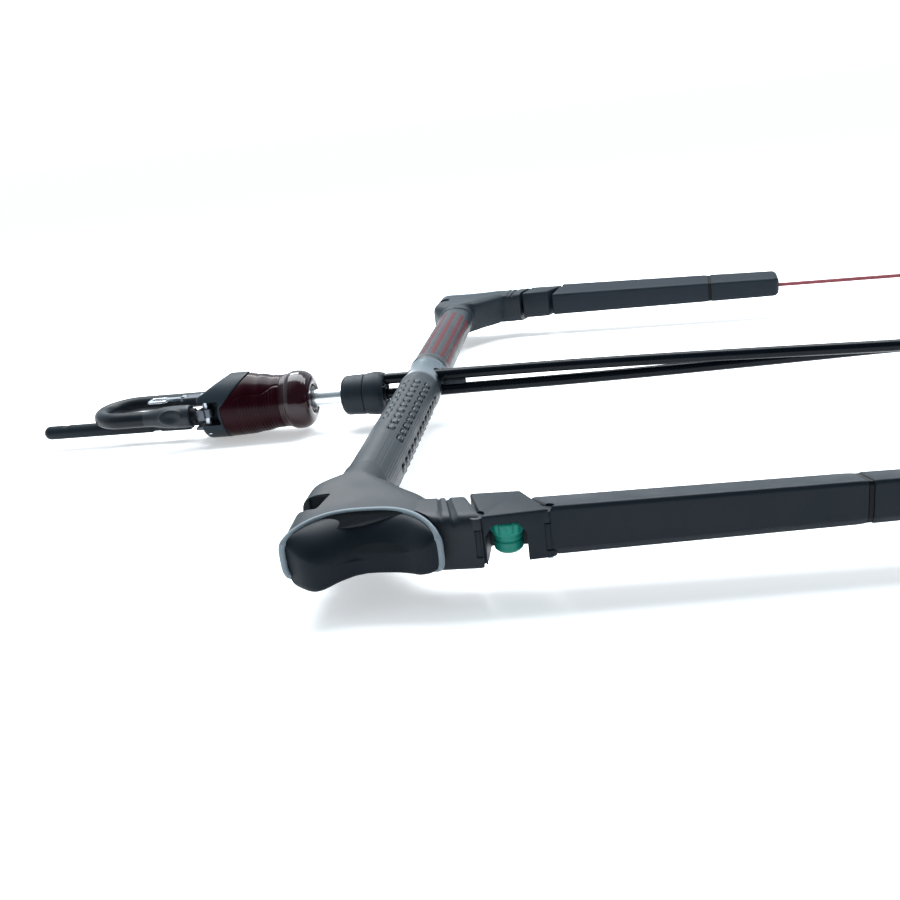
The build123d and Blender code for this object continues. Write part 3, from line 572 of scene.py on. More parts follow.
LINE_R = 3.8
LINE_ROUTE = [
    (-36.0, 0.0, 5.35),
    (70.0, 0.0, 5.35),
    (150.0, -1.6, 4.7),
    (230.0, -3.4, 3.3),
    (316.0, -4.4, 1.25),
    (338.0, -4.4, 1.25),
]
LEADER_R = 1.6
LEADER_LONG = 128.0
FLOAT_START = (60.0, 245.0)
TOE = radians(4.55)
FLOAT_END = 219.0
LEADER_IN = 16.0


def line_curve(name, route, radius):
    data = bpy.data.curves.new(name, "CURVE")
    data.dimensions = "3D"
    spline = data.splines.new("NURBS")
    spline.points.add(len(route) - 1)
    for point, place in zip(spline.points, route):
        point.co = (*at(*place), 1)
    spline.order_u = 3
    spline.use_endpoint_u = True
    spline.resolution_u = 24
    data.bevel_depth = radius * MM
    data.bevel_resolution = 12
    data.use_fill_caps = True
    made = bpy.data.objects.new(name, data)
    bpy.context.scene.collection.objects.link(made)
    return made


def in_float(along, across, height, side=1):
    """A point of a float's own frame in the bar's: side is 1 on the left and -1 on the right."""
    x = FLOAT_START[0] + along * cos(TOE) + across * sin(TOE)
    y = FLOAT_START[1] - along * sin(TOE) + across * cos(TOE)
    return (x, side * y, height)


for name, way in (("upper_centre_line", 1), ("lower_centre_line", -1)):
    jacket = line_curve(f"{name}_jacket", [(x, way * y, way * z) for x, y, z in LINE_ROUTE], LINE_R)
    jacket.data.materials.append(finishes["line"])
    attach(jacket, "front_lines")
    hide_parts(name)

for side, way in (("left", 1), ("right", -1)):
    ends = (FLOAT_END - LEADER_IN, FLOAT_END - LEADER_IN + LEADER_LONG)
    middle = sum(ends) / 2
    route = [in_float(a, 0, 0, way) for a in (ends[0], middle, ends[1])]
    leader = line_curve(f"{side}_leader_braid", route, LEADER_R)
    leader.data.materials.append(finishes[f"{side}_leader"])
    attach(leader, f"{side}_float")
    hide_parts(f"{side}_leader_line")

# ---- swivel head ----

REAR = (-57.0, -41.0)
FRONT = (-41.0, -27.0)
SCREW_X = -48.0

rear_profile = [(REAR[0] + 0.2, 6.4), (REAR[0], 8.0), (REAR[0], 11.2), (-54.6, 13.7), (REAR[1] - 0.3, 13.95),
                (REAR[1] - 0.05, 13.4), (REAR[1] - 0.05, 9.0)]
rear = turned_x("head_rear", dense(soften(rear_profile, 1.4), 1.0), z=AXIS_Z)
hole = turned_z("hole", [(AXIS_Z + 11.4, 1.6), (AXIS_Z + 20, 1.6)], SCREW_X, 0, around=24)
link_piece("head_rear_skin", carve(rear, hole), "head", "front_lines", ["swivel_head_rear"])
front_profile = [(FRONT[0] + 0.05, 9.0), (FRONT[0] + 0.05, 13.5), (FRONT[0] + 0.5, 14.1), (-33.5, 15.0),
                 (-29.5, 14.6), (FRONT[1], 12.6), (FRONT[1], 11.4), (FRONT[1] - 2.2, 10.0),
                 (FRONT[1] - 2.2, 1.0)]
head_front = turned_x("head_front", dense(soften(front_profile, 0.9), 1.0), z=AXIS_Z)
link_piece("head_front_skin", head_front, "head", "front_lines", ["swivel_head_front"])
for way, height in (("upper", LINE_ROUTE[0][2]), ("lower", -LINE_ROUTE[0][2])):
    ferrule = [(FRONT[1] - 3.5, LINE_R + 0.05), (FRONT[1] - 3.5, LINE_R + 1.1),
               (FRONT[1] - 0.6, LINE_R + 1.0), (FRONT[1] + 0.4, LINE_R + 0.6),
               (FRONT[1] + 0.5, LINE_R + 0.05)]
    collar = turned_x("ferrule", soften(ferrule, 0.5), z=height, around=48)
    link_piece(f"{way}_line_ferrule", collar, "head", "front_lines", [])

# ---- release unit ----

HOUSING_R = 22.5
HOUSING_X = -157.0
SPLIT_LOW, SPLIT_TOP = -140.0, -124.0
SPLIT_TURN = 4.0                # height above the axis where the split starts to slope
SLOPE_START, SLOPE_END = 11.0, -136.0


def split_x(height):
    """X of the split at a height above the release axis."""
    share = (height - SPLIT_TURN) / (HOUSING_R - 1 - SPLIT_TURN)
    return SPLIT_LOW + (SPLIT_TOP - SPLIT_LOW) * max(0.0, share)


def slope_radius(x, a, r):
    """Radius that keeps the housing's top under its sloping face."""
    if cos(a) < 0.1 or x > SLOPE_END + 8:
        return r
    rise = (HOUSING_R - SLOPE_START) / (SLOPE_END - HOUSING_X)
    limit = (SLOPE_START + (x - HOUSING_X) * rise) / cos(a)
    soft = 0.7
    gap = max(soft - abs(limit - r), 0.0) / soft
    return min(limit, r) - gap * gap * soft / 4


def housing_rings():
    around, rings = 160, []
    corner = soften([(0, 1.0), (0, HOUSING_R), (6, HOUSING_R)], 5.0, 8)
    for d, r in dense(corner, 1.5)[:-1]:
        rings.append((HOUSING_X + d, r, 0.0))
    start = rings[-1][0]
    steps = 30
    for n in range(1, steps + 1):
        rings.append((start, HOUSING_R, n / steps))
    made = []
    for x0, r, share in rings:
        ring = []
        for k in range(around):
            a = TURN * k / around
            end = split_x(HOUSING_R * cos(a))
            x = x0 + (end - x0) * share
            full = slope_radius(x, a, r)
            full -= 0.35 * groove(x, end - 0.2, 1.2)
            ring.append((x, full * sin(a), AXIS_Z + full * cos(a)))
        made.append(ring)
    return made


housing = skin("housing", housing_rings())
pin_x, pin_y = -152.0, -15.0
pocket = turned_z("pocket", [(AXIS_Z - 8.3, 13.0), (AXIS_Z + 8.3, 13.0)], pin_x, pin_y, around=64)
pocket = carve(pocket, block((-300, -141), (-60, -9.8), (-60, 60)), "INTERSECT")
housing = carve(housing, pocket)
housing = carve(housing, block((-170, -151.7), (16.8, 60), (AXIS_Z - 3.3, AXIS_Z + 3.3)))
housing = carve(housing, block((-155.6, -100), (-3.3, 3.3), (AXIS_Z + 9.0, AXIS_Z + 16.5)))
link_piece("housing_skin", housing, "housing", "release_unit", ["front_housing"], 30)

GRIP_BORE = 12.0
GRIP_SHAPE = [(0.0, 22.3), (0.35, 21.9), (0.62, 20.6), (0.85, 18.9), (1.0, 18.4)]
WAIST_X = -99.05
RIB_FROM, RIB_TO, RIB_STEP = -131.0, -101.5, 2.1


def along_shape(table, share):
    for (s0, r0), (s1, r1) in zip(table, table[1:]):
        if share <= s1:
            t = (share - s0) / (s1 - s0)
            return r0 + (r1 - r0) * ease(t, 0, 1)
    return table[-1][1]


def panel_edge(x):
    """Angle from the top where the ribbed side begins, at a place along the grip."""
    return radians(58) - radians(20) * ease(x, -112, -101) + radians(14) * ease(-x, 122, 134)


def grip_relief(x, a):
    side = abs(angle_gap(a, 0.0))
    edge = panel_edge(x)
    ribbed = ease(side, edge + 0.02, edge + 0.10)
    ends = ease(x, RIB_FROM, RIB_FROM + 3) * (1 - ease(x, RIB_TO - 1.5, RIB_TO))
    phase = ((x - RIB_FROM) / RIB_STEP) % 1.0
    rib = 0.34 * (0.5 - 0.5 * cos(TURN * phase)) ** 0.7
    contour = 0.3 * groove(side, edge, 0.09) * ease(x, -133, -128)
    panel = 0.45 * (1 - ribbed) * ease(x, -126, -116)
    return -(contour + panel + ribbed * ends * (0.34 - rib) + 0.12 * ribbed * ends)


def release_grip():
    around, steps, rings = 220, 120, []
    for n in range(steps + 1):
        share = n / steps
        ring = []
        for k in range(around):
            a = TURN * k / around
            start = split_x(HOUSING_R * cos(a)) + 0.3
            x = start + (WAIST_X - start) * share
            fixed = (x - SPLIT_LOW) / (WAIST_X - SPLIT_LOW)
            r = along_shape(GRIP_SHAPE, fixed) + grip_relief(x, a)
            r -= 0.35 * groove(x, start, 1.2) + 0.3 * groove(x, WAIST_X, 1.0)
            ring.append((x, r * sin(a), AXIS_Z + r * cos(a)))
        rings.append(ring)
    inner = []
    for x in (WAIST_X, None):
        ring = []
        for k in range(around):
            a = TURN * k / around
            start = split_x(HOUSING_R * cos(a)) + 0.3
            ring.append((start if x is None else x, GRIP_BORE * sin(a), AXIS_Z + GRIP_BORE * cos(a)))
        inner.append(ring)
    return skin("grip", rings + inner, joined=True)


link_piece("release_grip_skin", release_grip(), "release_red", "grip_sleeve",
           ["release_grip"], 50)

flange_profile = [(-99.0, 12.0), (-99.0, 18.2), (-98.4, 18.5), (-97.9, 17.9), (-97.4, 18.6), (-96.7, 18.1),
                  (-96.0, 18.9), (-95.3, 18.5), (-94.2, 19.4), (-91.5, 20.35), (-88.5, 20.4), (-85.5, 20.1),
                  (-82.5, 19.0), (-80.2, 17.2)]
flange = dense(soften(flange_profile, 0.5, 3), 0.8)
face_profile = [(-80.2, 17.2), (-79.0, 15.6), (-78.3, 13.4), (-78.1, 11.4), (-78.6, 10.2), (-80.0, 9.5),
                (-83.4, 9.3)]
face = dense(soften(face_profile, 0.6, 3), 0.7)
flange_rings = []
for x, r in flange + face + [(-83.5, 12.0)]:
    flange_rings.append([
        (x, r * sin(TURN * k / 128), AXIS_Z + r * cos(TURN * k / 128)) for k in range(128)
    ])
flange_mesh = skin("flange", flange_rings, joined=True)
link_piece("grip_flange_skin", flange_mesh, "flange", "grip_sleeve", ["grip_flange"], 50)

bush_profile = [(-83.4, 6.2), (-83.4, 9.15), (-79.6, 9.15), (-78.9, 8.6), (-78.9, 6.9), (-79.6, 6.2)]
bush_rings = [[(x, r * sin(TURN * k / 72), AXIS_Z + r * cos(TURN * k / 72)) for k in range(72)]
              for x, r in soften(bush_profile, 0.4, 2)]
link_piece("flange_bush_skin", skin("bush", bush_rings, joined=True), "bush", "grip_sleeve",
           ["flange_bush"])

# ---- harness loop ----

LOOP_R = 5.5
LOOP_HALF = 20.5
LOOP_BEND_X = -215.0
LOOP_ENDS = (-184.5, -165.0)     # where the near arm meets its sleeve, and where the far arm ends


def tube_along(name, places, headings, section):
    """Skin of sections set square to a flat path: section(n, k) gives its sideways and upward reach."""
    rings = []
    for n, ((x, y), (hx, hy)) in enumerate(zip(places, headings)):
        rings.append([(x - hy * s, y + hx * s, AXIS_Z + h) for s, h in section(n)])
    return skin(name, rings)


def circle(radius, around=48, stretch=1.0):
    angles = [TURN * k / around for k in range(around)]
    return [(radius * cos(a), stretch * radius * sin(a)) for a in angles]


def loop_places():
    places, headings = [], []
    for n in range(17):
        t = n / 16
        places.append((LOOP_ENDS[0] + (LOOP_BEND_X - LOOP_ENDS[0]) * t, -LOOP_HALF))
        headings.append((-1.0, 0.0))
    for n in range(1, 49):
        a = pi * n / 48
        places.append((LOOP_BEND_X - LOOP_HALF * sin(a), -LOOP_HALF * cos(a)))
        headings.append((-cos(a), sin(a)))
    for n in range(1, 25):
        t = n / 24
        places.append((LOOP_BEND_X + (LOOP_ENDS[1] - LOOP_BEND_X) * t, LOOP_HALF))
        headings.append((1.0, 0.0))
    return places, headings


places, headings = loop_places()
loop_mesh = tube_along("loop", places, headings, lambda n: circle(LOOP_R))
link_piece("harness_loop_skin", loop_mesh, "loop", "loop", ["harness_loop"])


def sleeve_relief(x, a, r):
    """Thumb dimple on the sleeve's outer side, with a low rim round it."""
    along = (x + 173.5) / 7.2
    round_it = angle_gap(a, radians(-78)) / 0.62
    far = along * along + round_it * round_it
    dent = 1.5 * (1 - far) ** 1.5 if far < 1 else 0.0
    rim = 0.35 * exp(-((sqrt(far) - 1.12) / 0.16) ** 2)
    return (rim - dent) * ease(r, 5.9, 7.0)


sleeve_profile = [(-195.0, 5.52), (-190.0, 5.75), (-185.0, 6.5), (-180.0, 7.4), (-175.0, 7.75), (-168.0, 7.8),
                  (-162.4, 7.7), (-161.2, 7.2), (-161.0, 6.4), (-161.0, 2.0)]
sleeve_line = dense(soften(sleeve_profile, 1.6, 5), 0.45)
sleeve = turned_x("sleeve", sleeve_line, -LOOP_HALF, AXIS_Z, sleeve_relief, 96)
link_piece("loop_sleeve_skin", sleeve, "sleeve", "loop", ["loop_sleeve"])

rib_profile = [(-161.0, 3.0), (-161.0, 4.3)]
for n in range(3):
    x = -160.95 + n * 1.13
    rib_profile += [(x, 4.3), (x + 0.1, 5.2), (x + 0.62, 5.2), (x + 0.72, 4.3)]
rib_profile += [(-157.6, 4.3), (-157.6, 3.0)]
ribs = turned_x("ribs", soften(rib_profile, 0.18, 2), -LOOP_HALF, AXIS_Z, around=64)
link_piece("loop_ribs_skin", ribs, "rib", "loop", ["loop_ribs"])

# ---- locking stick ----

STICK_R = 5.0
STICK_Z = -15.4
STICK_X = (-286.0, -171.0)


def stick_relief(x, a, r):
    notch = 0.7 * groove(x, -268.0, 5.0) * exp(-(angle_gap(a, 0.0) / 0.5) ** 2)
    return -notch


stick_profile = [(STICK_X[0] + 0.05, 0.6)]
for n in range(1, 13):
    t = n / 12 * pi / 2
    stick_profile.append((STICK_X[0] + STICK_R * (1 - cos(t)), STICK_R * sin(t)))
stick_profile += dense([(-281.0, 5.0), (-262.0, 5.0)], 0.8)[1:]
stick_profile += dense([(-262.0, 5.0), (-203.0, 5.0)], 6.0)[1:]
stick_profile += [(-202.0, 4.95), (-201.0, 4.5), (-200.2, 4.2), (-196.0, 4.2), (-195.0, 4.5), (-194.0, 4.9)]
stick_profile += [(-180.0, 5.0), (-173.0, 5.0), (-171.6, 4.6), (-171.0, 3.6)]
stick = turned_x("stick", stick_profile, 0, STICK_Z, stick_relief, 72)
stick = carve(stick, block((-179.4, -160), (-1.9, 1.9), (-40, 0)))
link_piece("locking_stick_skin", stick, "stick", "stick", ["locking_stick"])

# ---- hand grips ----

GRIP_R = 13.7
GRIP_Y = (16.5, 199.0)
PIP_ROWS = [                     # angle from the top towards the kite, count
    (-17, 8),
    (14.3, 10),
    (45, 11),
    (90, 13),
    (135, 11),
    (166, 8),
]
PIP_START = 41.0
PIP_STEP = 10.0
PIP_HALF = (3.5, 2.0)            # along and round the grip
FINE_GROOVES = [22, 27, 32, 55, 61, 67, 73, 79, 101, 107, 113, 119, 125]
INLAYS = [-20, 12, 42, 70]
INLAY_HALF = 1.6
INLAY_Y = (30.0, 168.0)


def pip_height(y, around):
    """Height of the pips at a place on the right grip, and its finish there: 1 recess, painted near-black as
    painted shade, 2 stud, painted lighter as a painted highlight.
    """
    for angle, count in PIP_ROWS:
        across = angle_gap(around, radians(angle)) * GRIP_R
        if abs(across) > PIP_HALF[1] + 0.8:
            continue
        n = round((y - PIP_START) / PIP_STEP)
        if not 0 <= n < count:
            return 0.0, 0
        along = y - PIP_START - n * PIP_STEP
        u, v = abs(along) / PIP_HALF[0], abs(across) / PIP_HALF[1]
        far = (u**3.5 + v**3.5) ** (1 / 3.5)
        size = 1.0 - 0.06 * (n % 2)
        far /= size
        if far > 1.25:
            return 0.0, 0
        pit = -0.6 * (1 - ease(far, 1.06, 1.2))
        stud = 1.2 * (1 - ease(far, 0.6, 0.78))
        dot = -0.4 * (1 - ease(far, 0.1, 0.24))
        # finish 1 darkens the sunken ring and the centre dot as painted shade; finish 2 lightens the raised
        # stud as a painted highlight
        return pit + stud + dot, 2 if 0.2 < far <= 0.7 else 1 if far < 1.12 else 0
    return 0.0, 0


def grip_height(y, around, side):
    total, which = 0.0, 0
    if side == "right":
        total, which = pip_height(y, around)
        for angle in FINE_GROOVES:
            across = angle_gap(around, radians(angle)) * GRIP_R
            start = 34.0 if angle < 34 else 60.0
            total -= 0.3 * groove(across, 0.0, 0.9) * ease(y, start, start + 4)
    else:
        for angle in INLAYS:
            across = abs(angle_gap(around, radians(angle)) * GRIP_R)
            inside = ease(y, INLAY_Y[0], INLAY_Y[0] + 1) * (1 - ease(y, INLAY_Y[1] - 1, INLAY_Y[1]))
            total -= 0.3 * groove(across, INLAY_HALF + 0.3, 0.7) * inside
    return total, which


def hand_grip(side, way):
    around, step = 190, 0.55
    steps = int((GRIP_Y[1] - GRIP_Y[0]) / step)
    rings, marked = [], {}
    for n in range(steps + 1):
        y = GRIP_Y[0] + (GRIP_Y[1] - GRIP_Y[0]) * n / steps
        lead = y - GRIP_Y[0]
        shoulder = -2.2 * (1 - min(1.0, lead / 5.0)) ** 2 + 0.5 * exp(-((lead - 7) / 5) ** 2)
        ring = []
        for k in range(around):
            a = TURN * k / around
            height, which = grip_height(y, a, side)
            if which:
                marked[(n, k)] = which
            r = GRIP_R + height + shoulder
            ring.append((r * sin(a), way * y, r * cos(a)))
        rings.append(ring)
    mesh = skin("hand_grip", rings)
    return mesh, marked, around


def second_finish(mesh, test):
    """Give the faces that pass the test the mesh's second finish."""
    for polygon in mesh.polygons:
        x, y, z = ((polygon.center[i] - BAR[i]) / MM for i in range(3))
        if test(x, y, z):
            polygon.material_index = 1


for side, way in (("left", 1), ("right", -1)):
    mesh, marked, around = hand_grip(side, way)
    grip_piece = link_piece(f"{side}_grip_foam", mesh, "grip", "bar",
                            [f"{side}_grip"], 75)
    if side == "right":
        # the pits and dots take the near-black finish, which is painted shade
        mesh.materials.append(finishes["grip_pits_painted_shade"])
        # the studs take the lighter finish, which is a painted highlight
        mesh.materials.append(finishes["grip_stud_painted_highlight"])
        for (n, k), which in marked.items():
            index = n * around + k
            if index < len(mesh.polygons) - 2:
                mesh.polygons[index].material_index = which
    else:
        mesh.materials.append(finishes["inlay_red"])

        def on_inlay(x, y, z):
            if not INLAY_Y[0] + 0.5 < y < INLAY_Y[1] - 0.5:
                return False
            here = atan2(x, z)
            return any(abs(angle_gap(here, radians(a)) * GRIP_R) < INLAY_HALF for a in INLAYS)

        second_finish(mesh, on_inlay)

# ---- centre insert ----

INSERT_R = 14.2
INSERT_HALF = 22.0


def insert_mesh():
    around, rings = 120, []
    profile = soften([(-INSERT_HALF, 12.4), (-18.5, 13.9), (-9.0, 12.6), (0.0, 12.2), (9.0, 12.6),
                      (18.5, 13.9), (INSERT_HALF, 12.4)], 5.0, 8)
    for y, r in dense(profile, 0.8):
        ring = []
        for k in range(around):
            a = TURN * k / around
            ahead = abs(sin(a)) ** 3
            full = r + (INSERT_R - r) * 0.85 * ahead
            ring.append((full * sin(a), y, full * cos(a)))
        rings.append(ring)
    return skin("insert", rings)


insert = insert_mesh()
opening = [(-30.0, -15.6), (0.0, -9.9), (30.0, -15.6), (30.0, 15.6), (0.0, 9.9), (-30.0, 15.6)]
insert = carve(insert, prism(opening, (-6.8, 6.8)))
insert = carve(insert, turned_x("bore", [(-30, 9.85), (30, 9.85)]))
link_piece("centre_insert_skin", insert, "polished", "bar", ["centre_insert"], 30)

# ---- bar ends, pads and piping ----

END_HALF_Z = 13.5
BEAD_Y = 243.0                   # where the piping crosses the top, at its innermost
BEAD_SPREAD = 18.0               # how far it runs out at the corners
BEAD_DROP = 1.5                  # how far it runs out towards the underside
END_MIDDLE, END_REACH = 13.0, 33.5
LEFT_EDGE = [(176, -14.4), (186, -14.6), (197, -17.8), (208, -21.6), (216, -22.0), (BEAD_Y, -22.0)]
RIGHT_EDGE = [(176, 14.4), (190, 14.8), (200, 16.2), (208, 19.2), (215, 24.2), (221, 31.0), (226, 39.0),
              (230, 45.0), (235, 47.2), (BEAD_Y, 47.4)]
FLAT_FROM, FLAT_TO = 190.0, 214.0


def smooth_table(table, at_value):
    """Value of a table of points, on a smooth curve through them."""
    if at_value <= table[0][0]:
        return table[0][1]
    if at_value >= table[-1][0]:
        return table[-1][1]
    for n in range(len(table) - 1):
        (x0, y0), (x1, y1) = table[n], table[n + 1]
        if at_value <= x1:
            before = table[n - 1] if n else (2 * x0 - x1, 2 * y0 - y1)
            after = table[n + 2] if n + 2 < len(table) else (2 * x1 - x0, 2 * y1 - y0)
            m0 = (y1 - before[1]) / (x1 - before[0]) * (x1 - x0)
            m1 = (after[1] - y0) / (after[0] - x0) * (x1 - x0)
            t = (at_value - x0) / (x1 - x0)
            return ((2 * t**3 - 3 * t**2 + 1) * y0 + (t**3 - 2 * t**2 + t) * m0
                    + (-2 * t**3 + 3 * t**2) * y1 + (t**3 - t**2) * m1)
    return table[-1][1]


def power_ring(left, right, half, power, around):
    """Superellipse between two sides: pairs of x and z."""
    centre, reach = (left + right) / 2, (right - left) / 2
    ring = []
    for k in range(around):
        a = TURN * k / around
        c, s = cos(a), sin(a)
        ring.append((
            centre + reach * abs(c) ** (2 / power) * (1 if c > 0 else -1),
            half * abs(s) ** (2 / power) * (1 if s > 0 else -1),
        ))
    return ring


END_AROUND = 128


def end_ring(y):
    flat = ease(y, FLAT_FROM, FLAT_TO)
    left, right = smooth_table(LEFT_EDGE, y), smooth_table(RIGHT_EDGE, y)
    half = 14.4 + (END_HALF_Z - 14.4) * flat
    power = 2.0 + 3.2 * flat - 1.5 * ease(y, 222, BEAD_Y)
    return power_ring(left, right, half, power, END_AROUND)


def piping_run(x, z):
    """How far outwards the piping lies of its innermost point, at a place on the winder's outline."""
    corner = min(1.0, abs((x - END_MIDDLE) / END_REACH)) ** 2.6
    lower = ease(-z, -END_HALF_Z, END_HALF_Z)
    return BEAD_SPREAD * corner + BEAD_DROP * lower * (1 - corner)


def leaned(y, x, z):
    """Y of a section's point: it curves towards the piping, and the collar's edge runs back from the grip."""
    collar = (7.5 + 10.0 * ease(x, 3, 14)) * (1 - ease(y, 180, 213))
    return y + collar + piping_run(x, z) * ease(y, 208, BEAD_Y)


def end_body(way):
    rings = []
    stations = [176.0, 176.3, 177.2] + [178.5 + 1.5 * n for n in range(43)] + [BEAD_Y - 0.4, BEAD_Y]
    for n, y in enumerate(sorted(s for s in stations if s <= BEAD_Y)):
        tuck = 1.0 if n == 0 else 0.45 if n == 1 else 0.0
        ring = []
        for x, z in end_ring(y):
            size = hypot(x, z)
            pull = 1 - tuck / size if size else 1
            ring.append((x * pull, way * leaned(y, x, z), z * pull))
        rings.append(ring)
    return skin("end_body", rings)


ARM_Y = (231.0, 257.0)


def arm_end_x(y):
    """The arm's slanted end, the first groove's face."""
    return 54.0 + (y - 230.5) * (64.5 - 54.0) / (257.2 - 230.5)


def arm_ring(share, grow, way, top=13.0, low=-13.3):
    ring = []
    mid_y, half_y = sum(ARM_Y) / 2, (ARM_Y[1] - ARM_Y[0]) / 2 * grow
    mid_z, half_z = (top + low) / 2, (top - low) / 2 * grow
    for k in range(96):
        a = TURN * k / 96
        c, s = cos(a), sin(a)
        y = mid_y + half_y * abs(c) ** (2 / 5.5) * (1 if c > 0 else -1)
        z = mid_z + half_z * abs(s) ** (2 / 5.5) * (1 if s > 0 else -1)
        end = arm_end_x(y) - 0.5
        x = 34.0 + (end - 34.0) * share
        ring.append((x, way * y, z))
    return ring


def arm_mesh(way):
    rings = [arm_ring(0.0, 0.9, way)]
    for n in range(1, 25):
        share = n / 24
        dip = 0.7 * groove(share, 0.46, 0.05) + 1.6 * groove(share, 0.64, 0.1)
        edge = 0.7 * ease(share, 0.965, 1.0)
        ring = []
        for x, y, z in arm_ring(share, 1.0 - 0.02 * edge, way):
            tucked = min(abs(y), leaned(BEAD_Y, min(x, 46.0), z) - 1.5) if x < 49 else abs(y)
            ring.append((x, way * tucked, z - dip * ease(z, 6, 12)))
        rings.append(ring)
    return skin("arm", rings)


def hinge_ears(way, place, reach, levels):
    """Upright barrels on a hinge axis, joined into one mesh list."""
    return [turned_z("ear", soften([(low, 0.4), (low, reach), (high, reach), (high, 0.4)], 0.4, 2),
                     place[0], way * place[1], around=40) for low, high in levels]


HINGE_1 = (62.0, 253.9)
HINGE_2 = (91.0, 250.2)
EAR_LEVELS = ((-9.5, -6.3), (6.3, 11.5))
BARREL_LEVELS = ((-6.0, 6.0),)
BARREL_ROOM = (3.3, 6.3)         # radius and half height of the room round a hinge's middle barrel
EAR_ROOM = 3.5                   # radius of the room round its ears
EAR_PLAY = 0.3                   # how far that room runs past an ear, towards the middle barrel
SLOT_CUTS = [                    # the winder's slot, then the two steps of its mouth
    ([(-18.5, 224.0), (-8.6, 224.0), (-11.2, 238.6), (-18.5, 238.6)], (-30, 30), 1.2),
    ([(-30, 223.4), (-7.6, 223.4), (-10.4, 239.4), (-30, 239.4)], (12.3, 30), 1.2),
    ([(-30, 224.6), (-15, 224.6), (-15, 238.0), (-30, 238.0)], (3.0, 30), 1.0),
]


def barrel_room(way, place):
    """Room for a hinge's middle barrel."""
    radius, half = BARREL_ROOM
    return turned_z("room", [(-half, radius), (half, radius)], place[0], way * place[1], around=40)


def ear_rooms(way, place, above):
    """Room for each of a hinge's ears, open downwards and, by the given height, upwards."""
    (low, lower_top), (upper_base, high) = EAR_LEVELS
    spans = ((low - 3, lower_top + EAR_PLAY), (upper_base - EAR_PLAY, high + above))
    return [turned_z("room", [(base, EAR_ROOM), (top, EAR_ROOM)], place[0], way * place[1], around=40)
            for base, top in spans]


for side, way in (("left", 1), ("right", -1)):
    body = carve(end_body(way), arm_mesh(way), "UNION")
    for outline, heights, rounding in SLOT_CUTS:
        body = carve(body, rounded_block([(x, way * y) for x, y in outline], heights, rounding))
    for ear in hinge_ears(way, HINGE_1, 3.2, EAR_LEVELS):
        body = carve(body, ear, "UNION")
    body = carve(body, barrel_room(way, HINGE_1))
    link_piece(f"{side}_end_skin", body, "end", "bar", [f"{side}_bar_end"], 32)

    rim = end_ring(BEAD_Y)
    bead_rings = []
    for n, (x, z) in enumerate(rim):
        ahead, behind = rim[(n + 1) % len(rim)], rim[n - 1]
        tx, tz = ahead[0] - behind[0], ahead[1] - behind[1]
        size = hypot(tx, tz)
        out = (tz / size, -tx / size)
        ring = []
        for k in range(16):
            a = TURN * k / 16
            reach, push = 1.45 * cos(a) - 0.65, 1.35 * sin(a)
            ring.append((x + out[0] * reach, way * (leaned(BEAD_Y, x, z) + 1.1 + push), z + out[1] * reach))
        bead_rings.append(ring)
    link_piece(f"{side}_piping_bead", skin("bead", bead_rings, joined=True), "bead", "bar",
               [f"{side}_piping"])

PAD_REACH = [(-22.0, 259.0), (-18.0, 263.5), (-12.0, 267.2), (-5.0, 267.6), (2.0, 264.0), (9.0, 258.8),
             (16.0, 257.4), (26.0, 257.4), (32.0, 259.6), (37.0, 263.2), (42.0, 264.9), (45.0, 264.4),
             (48.0, 263.0)]
PAD_STEPS = 26
PAD_TIP = 0.04                   # size of the last ring, as a share of the first
PAD_TUCK = 1.3                   # how far the pad starts inside the piping
PAD_MIDDLE = (13.0, -4.5)
PAD_ROUND = (3.4, 2.1, 5.5)      # fullness of the dome sideways, upwards and downwards


def pad_mesh(way):
    """Soft cap over the winder's outer side: a dome that follows the two lobes, one of them drooping."""
    rim = end_ring(BEAD_Y)
    rings = []
    for n in range(PAD_STEPS + 1):
        depth = sin(n / PAD_STEPS * pi / 2)
        inset = [max(PAD_TIP, (1 - depth**power) ** (1 / power)) for power in PAD_ROUND]
        ring = []
        for x, z in rim:
            size = hypot(x - PAD_MIDDLE[0], z)
            pull = 1 - PAD_TUCK / size
            x_rim, z_rim = PAD_MIDDLE[0] + (x - PAD_MIDDLE[0]) * pull, z * pull
            x_in = PAD_MIDDLE[0] + (x_rim - PAD_MIDDLE[0]) * inset[0]
            full = inset[1] if z_rim > PAD_MIDDLE[1] else inset[2]
            z_in = PAD_MIDDLE[1] + (z_rim - PAD_MIDDLE[1]) * full
            start = leaned(BEAD_Y, x, z) + 1.4
            reach = smooth_table(PAD_REACH, x_in)
            y = start + (reach - start) * depth
            droop = 3.6 * ease(-x_in, -4, 11) * (1 - ease(-x_in, 17, 24)) * ease(-z_in, -2, 9)
            ring.append((x_in, way * y, z_in - droop * ease(depth, 0.0, 0.45)))
        rings.append(ring)
    base = [(x * 0.99, way * (leaned(BEAD_Y, x, z) - 0.6), z * 0.9) for x, z in rim]
    return skin("pad", [base] + rings)


for side, way in (("left", 1), ("right", -1)):
    pad = link_piece(f"{side}_pad_soft", pad_mesh(way), "pad", "bar", [f"{side}_end_pad"], 80)

# ---- neck links and knobs ----

WINDOW_X = (65.2, 82.4)
WINDOW_Y = 238.2
WINDOW_TOP = 8.2
LINK_TOP = 12.5
KNOB = (73.8, 247.3)
INNER_Y = 230.5
LINK_OUTER = 257.2
FOOT_1 = (52.5, 232.0)           # inner end of the first groove's slanted face
FOOT_2 = (79.5, INNER_Y)         # inner end of the second one's
FOLD_ROOM_1 = 4.9                # how far the first groove stands open at its inner end
FOLD_ROOM_2 = 3.4                # the same of the second


def slant(y, hinge, inner):
    """X of a groove's face at a place across it."""
    return inner[0] + (hinge[0] - inner[0]) * (y - inner[1]) / (hinge[1] - inner[1])


